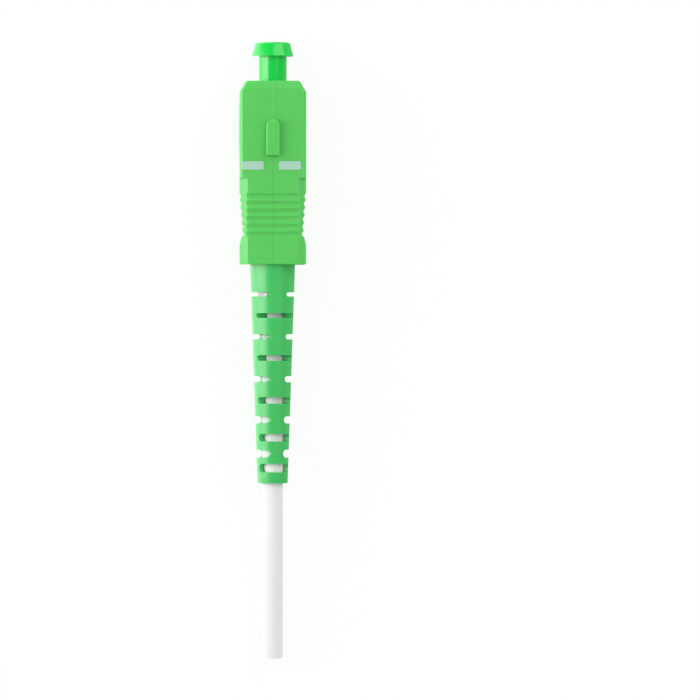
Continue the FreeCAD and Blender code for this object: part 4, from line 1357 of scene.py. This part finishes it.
def light_room(scene, stage):
    """An even white room, which glossy surfaces mirror at a level of its own, and two panels."""
    scene.world = bpy.data.worlds.new("studio")
    scene.world.use_nodes = True
    nodes, links = scene.world.node_tree.nodes, scene.world.node_tree.links
    path = nodes.new("ShaderNodeLightPath")
    level = nodes.new("ShaderNodeMath")
    level.operation = "MULTIPLY_ADD"
    level.inputs[1].default_value = stage.mirrored_room - stage.ambient
    level.inputs[2].default_value = stage.ambient
    links.new(path.outputs["Is Glossy Ray"], level.inputs[0])
    room = nodes["Background"]
    room.inputs["Color"].default_value = (1, 1, 1, 1)
    links.new(level.outputs[0], room.inputs["Strength"])
    aim = stage.lights_aim
    add_panel_light("left_panel", stage.left_place, aim, stage.left_panel, stage.left_light)
    add_panel_light(
        "corner_panel", stage.corner_place, aim, stage.corner_panel, stage.corner_light
    )


def set_camera(scene, stage):
    """A camera far above the connector that leans to the left of straight down. Its lens is the
    sensor's width x distance / view width."""
    camera_data = bpy.data.cameras.new("camera")
    camera_data.sensor_width = SENSOR_WIDTH
    camera_data.lens = SENSOR_WIDTH * stage.camera_distance / stage.view_width
    camera_data.clip_start = NEAREST_SEEN
    camera = bpy.data.objects.new("camera", camera_data)
    lean = stage.camera_lean
    camera.location = (
        stage.camera_x - stage.camera_distance * math.sin(lean),
        stage.camera_y,
        stage.camera_distance * math.cos(lean),
    )
    camera.rotation_euler = (0.0, -lean, 0.0)
    scene.collection.objects.link(camera)
    scene.camera = camera


class CONNECTOR_OT_stage(bpy.types.Operator):
    """Sets the pale floor, the soft lights and the camera that looks down on the connector"""

    bl_idname = "connector.stage"
    bl_label = "Stage"

    def execute(self, context):
        scene = context.scene
        scene.view_settings.view_transform = "Standard"
        stage = scene.connector_stage
        lay_floor(scene, stage)
        light_room(scene, stage)
        set_camera(scene, stage)
        return {"FINISHED"}


class CONNECTOR_PT_panel(bpy.types.Panel):
    """Lists the connector's pieces"""

    bl_idname = "CONNECTOR_PT_panel"
    bl_label = "Fibre connector"
    bl_space_type = "VIEW_3D"
    bl_region_type = "UI"
    bl_category = "Connector"

    def draw(self, context):
        for operator in OPERATORS:
            self.layout.operator(operator.bl_idname)
        for name in GROUPS:
            group = getattr(context.scene, name)
            box = self.layout.box()
            box.label(text=name.replace("_", " "))
            for prop in group.bl_rna.properties.keys():
                if prop not in ("rna_type", "name"):
                    box.prop(group, prop)


GROUPS = {
    "connector_housing": HousingSizes,
    "connector_marks": MarkSizes,
    "connector_boot": BootSizes,
    "connector_cap": CapSizes,
    "connector_core": CoreSizes,
    "connector_finishes": Finishes,
    "connector_stage": StageSizes,
}
OPERATORS = (
    CONNECTOR_OT_stage,
    CONNECTOR_OT_cable,
    CONNECTOR_OT_housing,
    CONNECTOR_OT_marks,
    CONNECTOR_OT_boot,
    CONNECTOR_OT_dust_cap,
    CONNECTOR_OT_ferrule,
    CONNECTOR_OT_inner_parts,
)
CLASSES = (*GROUPS.values(), *OPERATORS, CONNECTOR_PT_panel)


def register():
    for cls in CLASSES:
        bpy.utils.register_class(cls)
    for name, group in GROUPS.items():
        setattr(bpy.types.Scene, name, bpy.props.PointerProperty(type=group))


def unregister():
    for name in GROUPS:
        delattr(bpy.types.Scene, name)
    for cls in reversed(CLASSES):
        bpy.utils.unregister_class(cls)


def main():
    register()
    for operator in OPERATORS:
        family, action = operator.bl_idname.split(".")
        getattr(getattr(bpy.ops, family), action)()


if __name__ == "__main__":
    main()
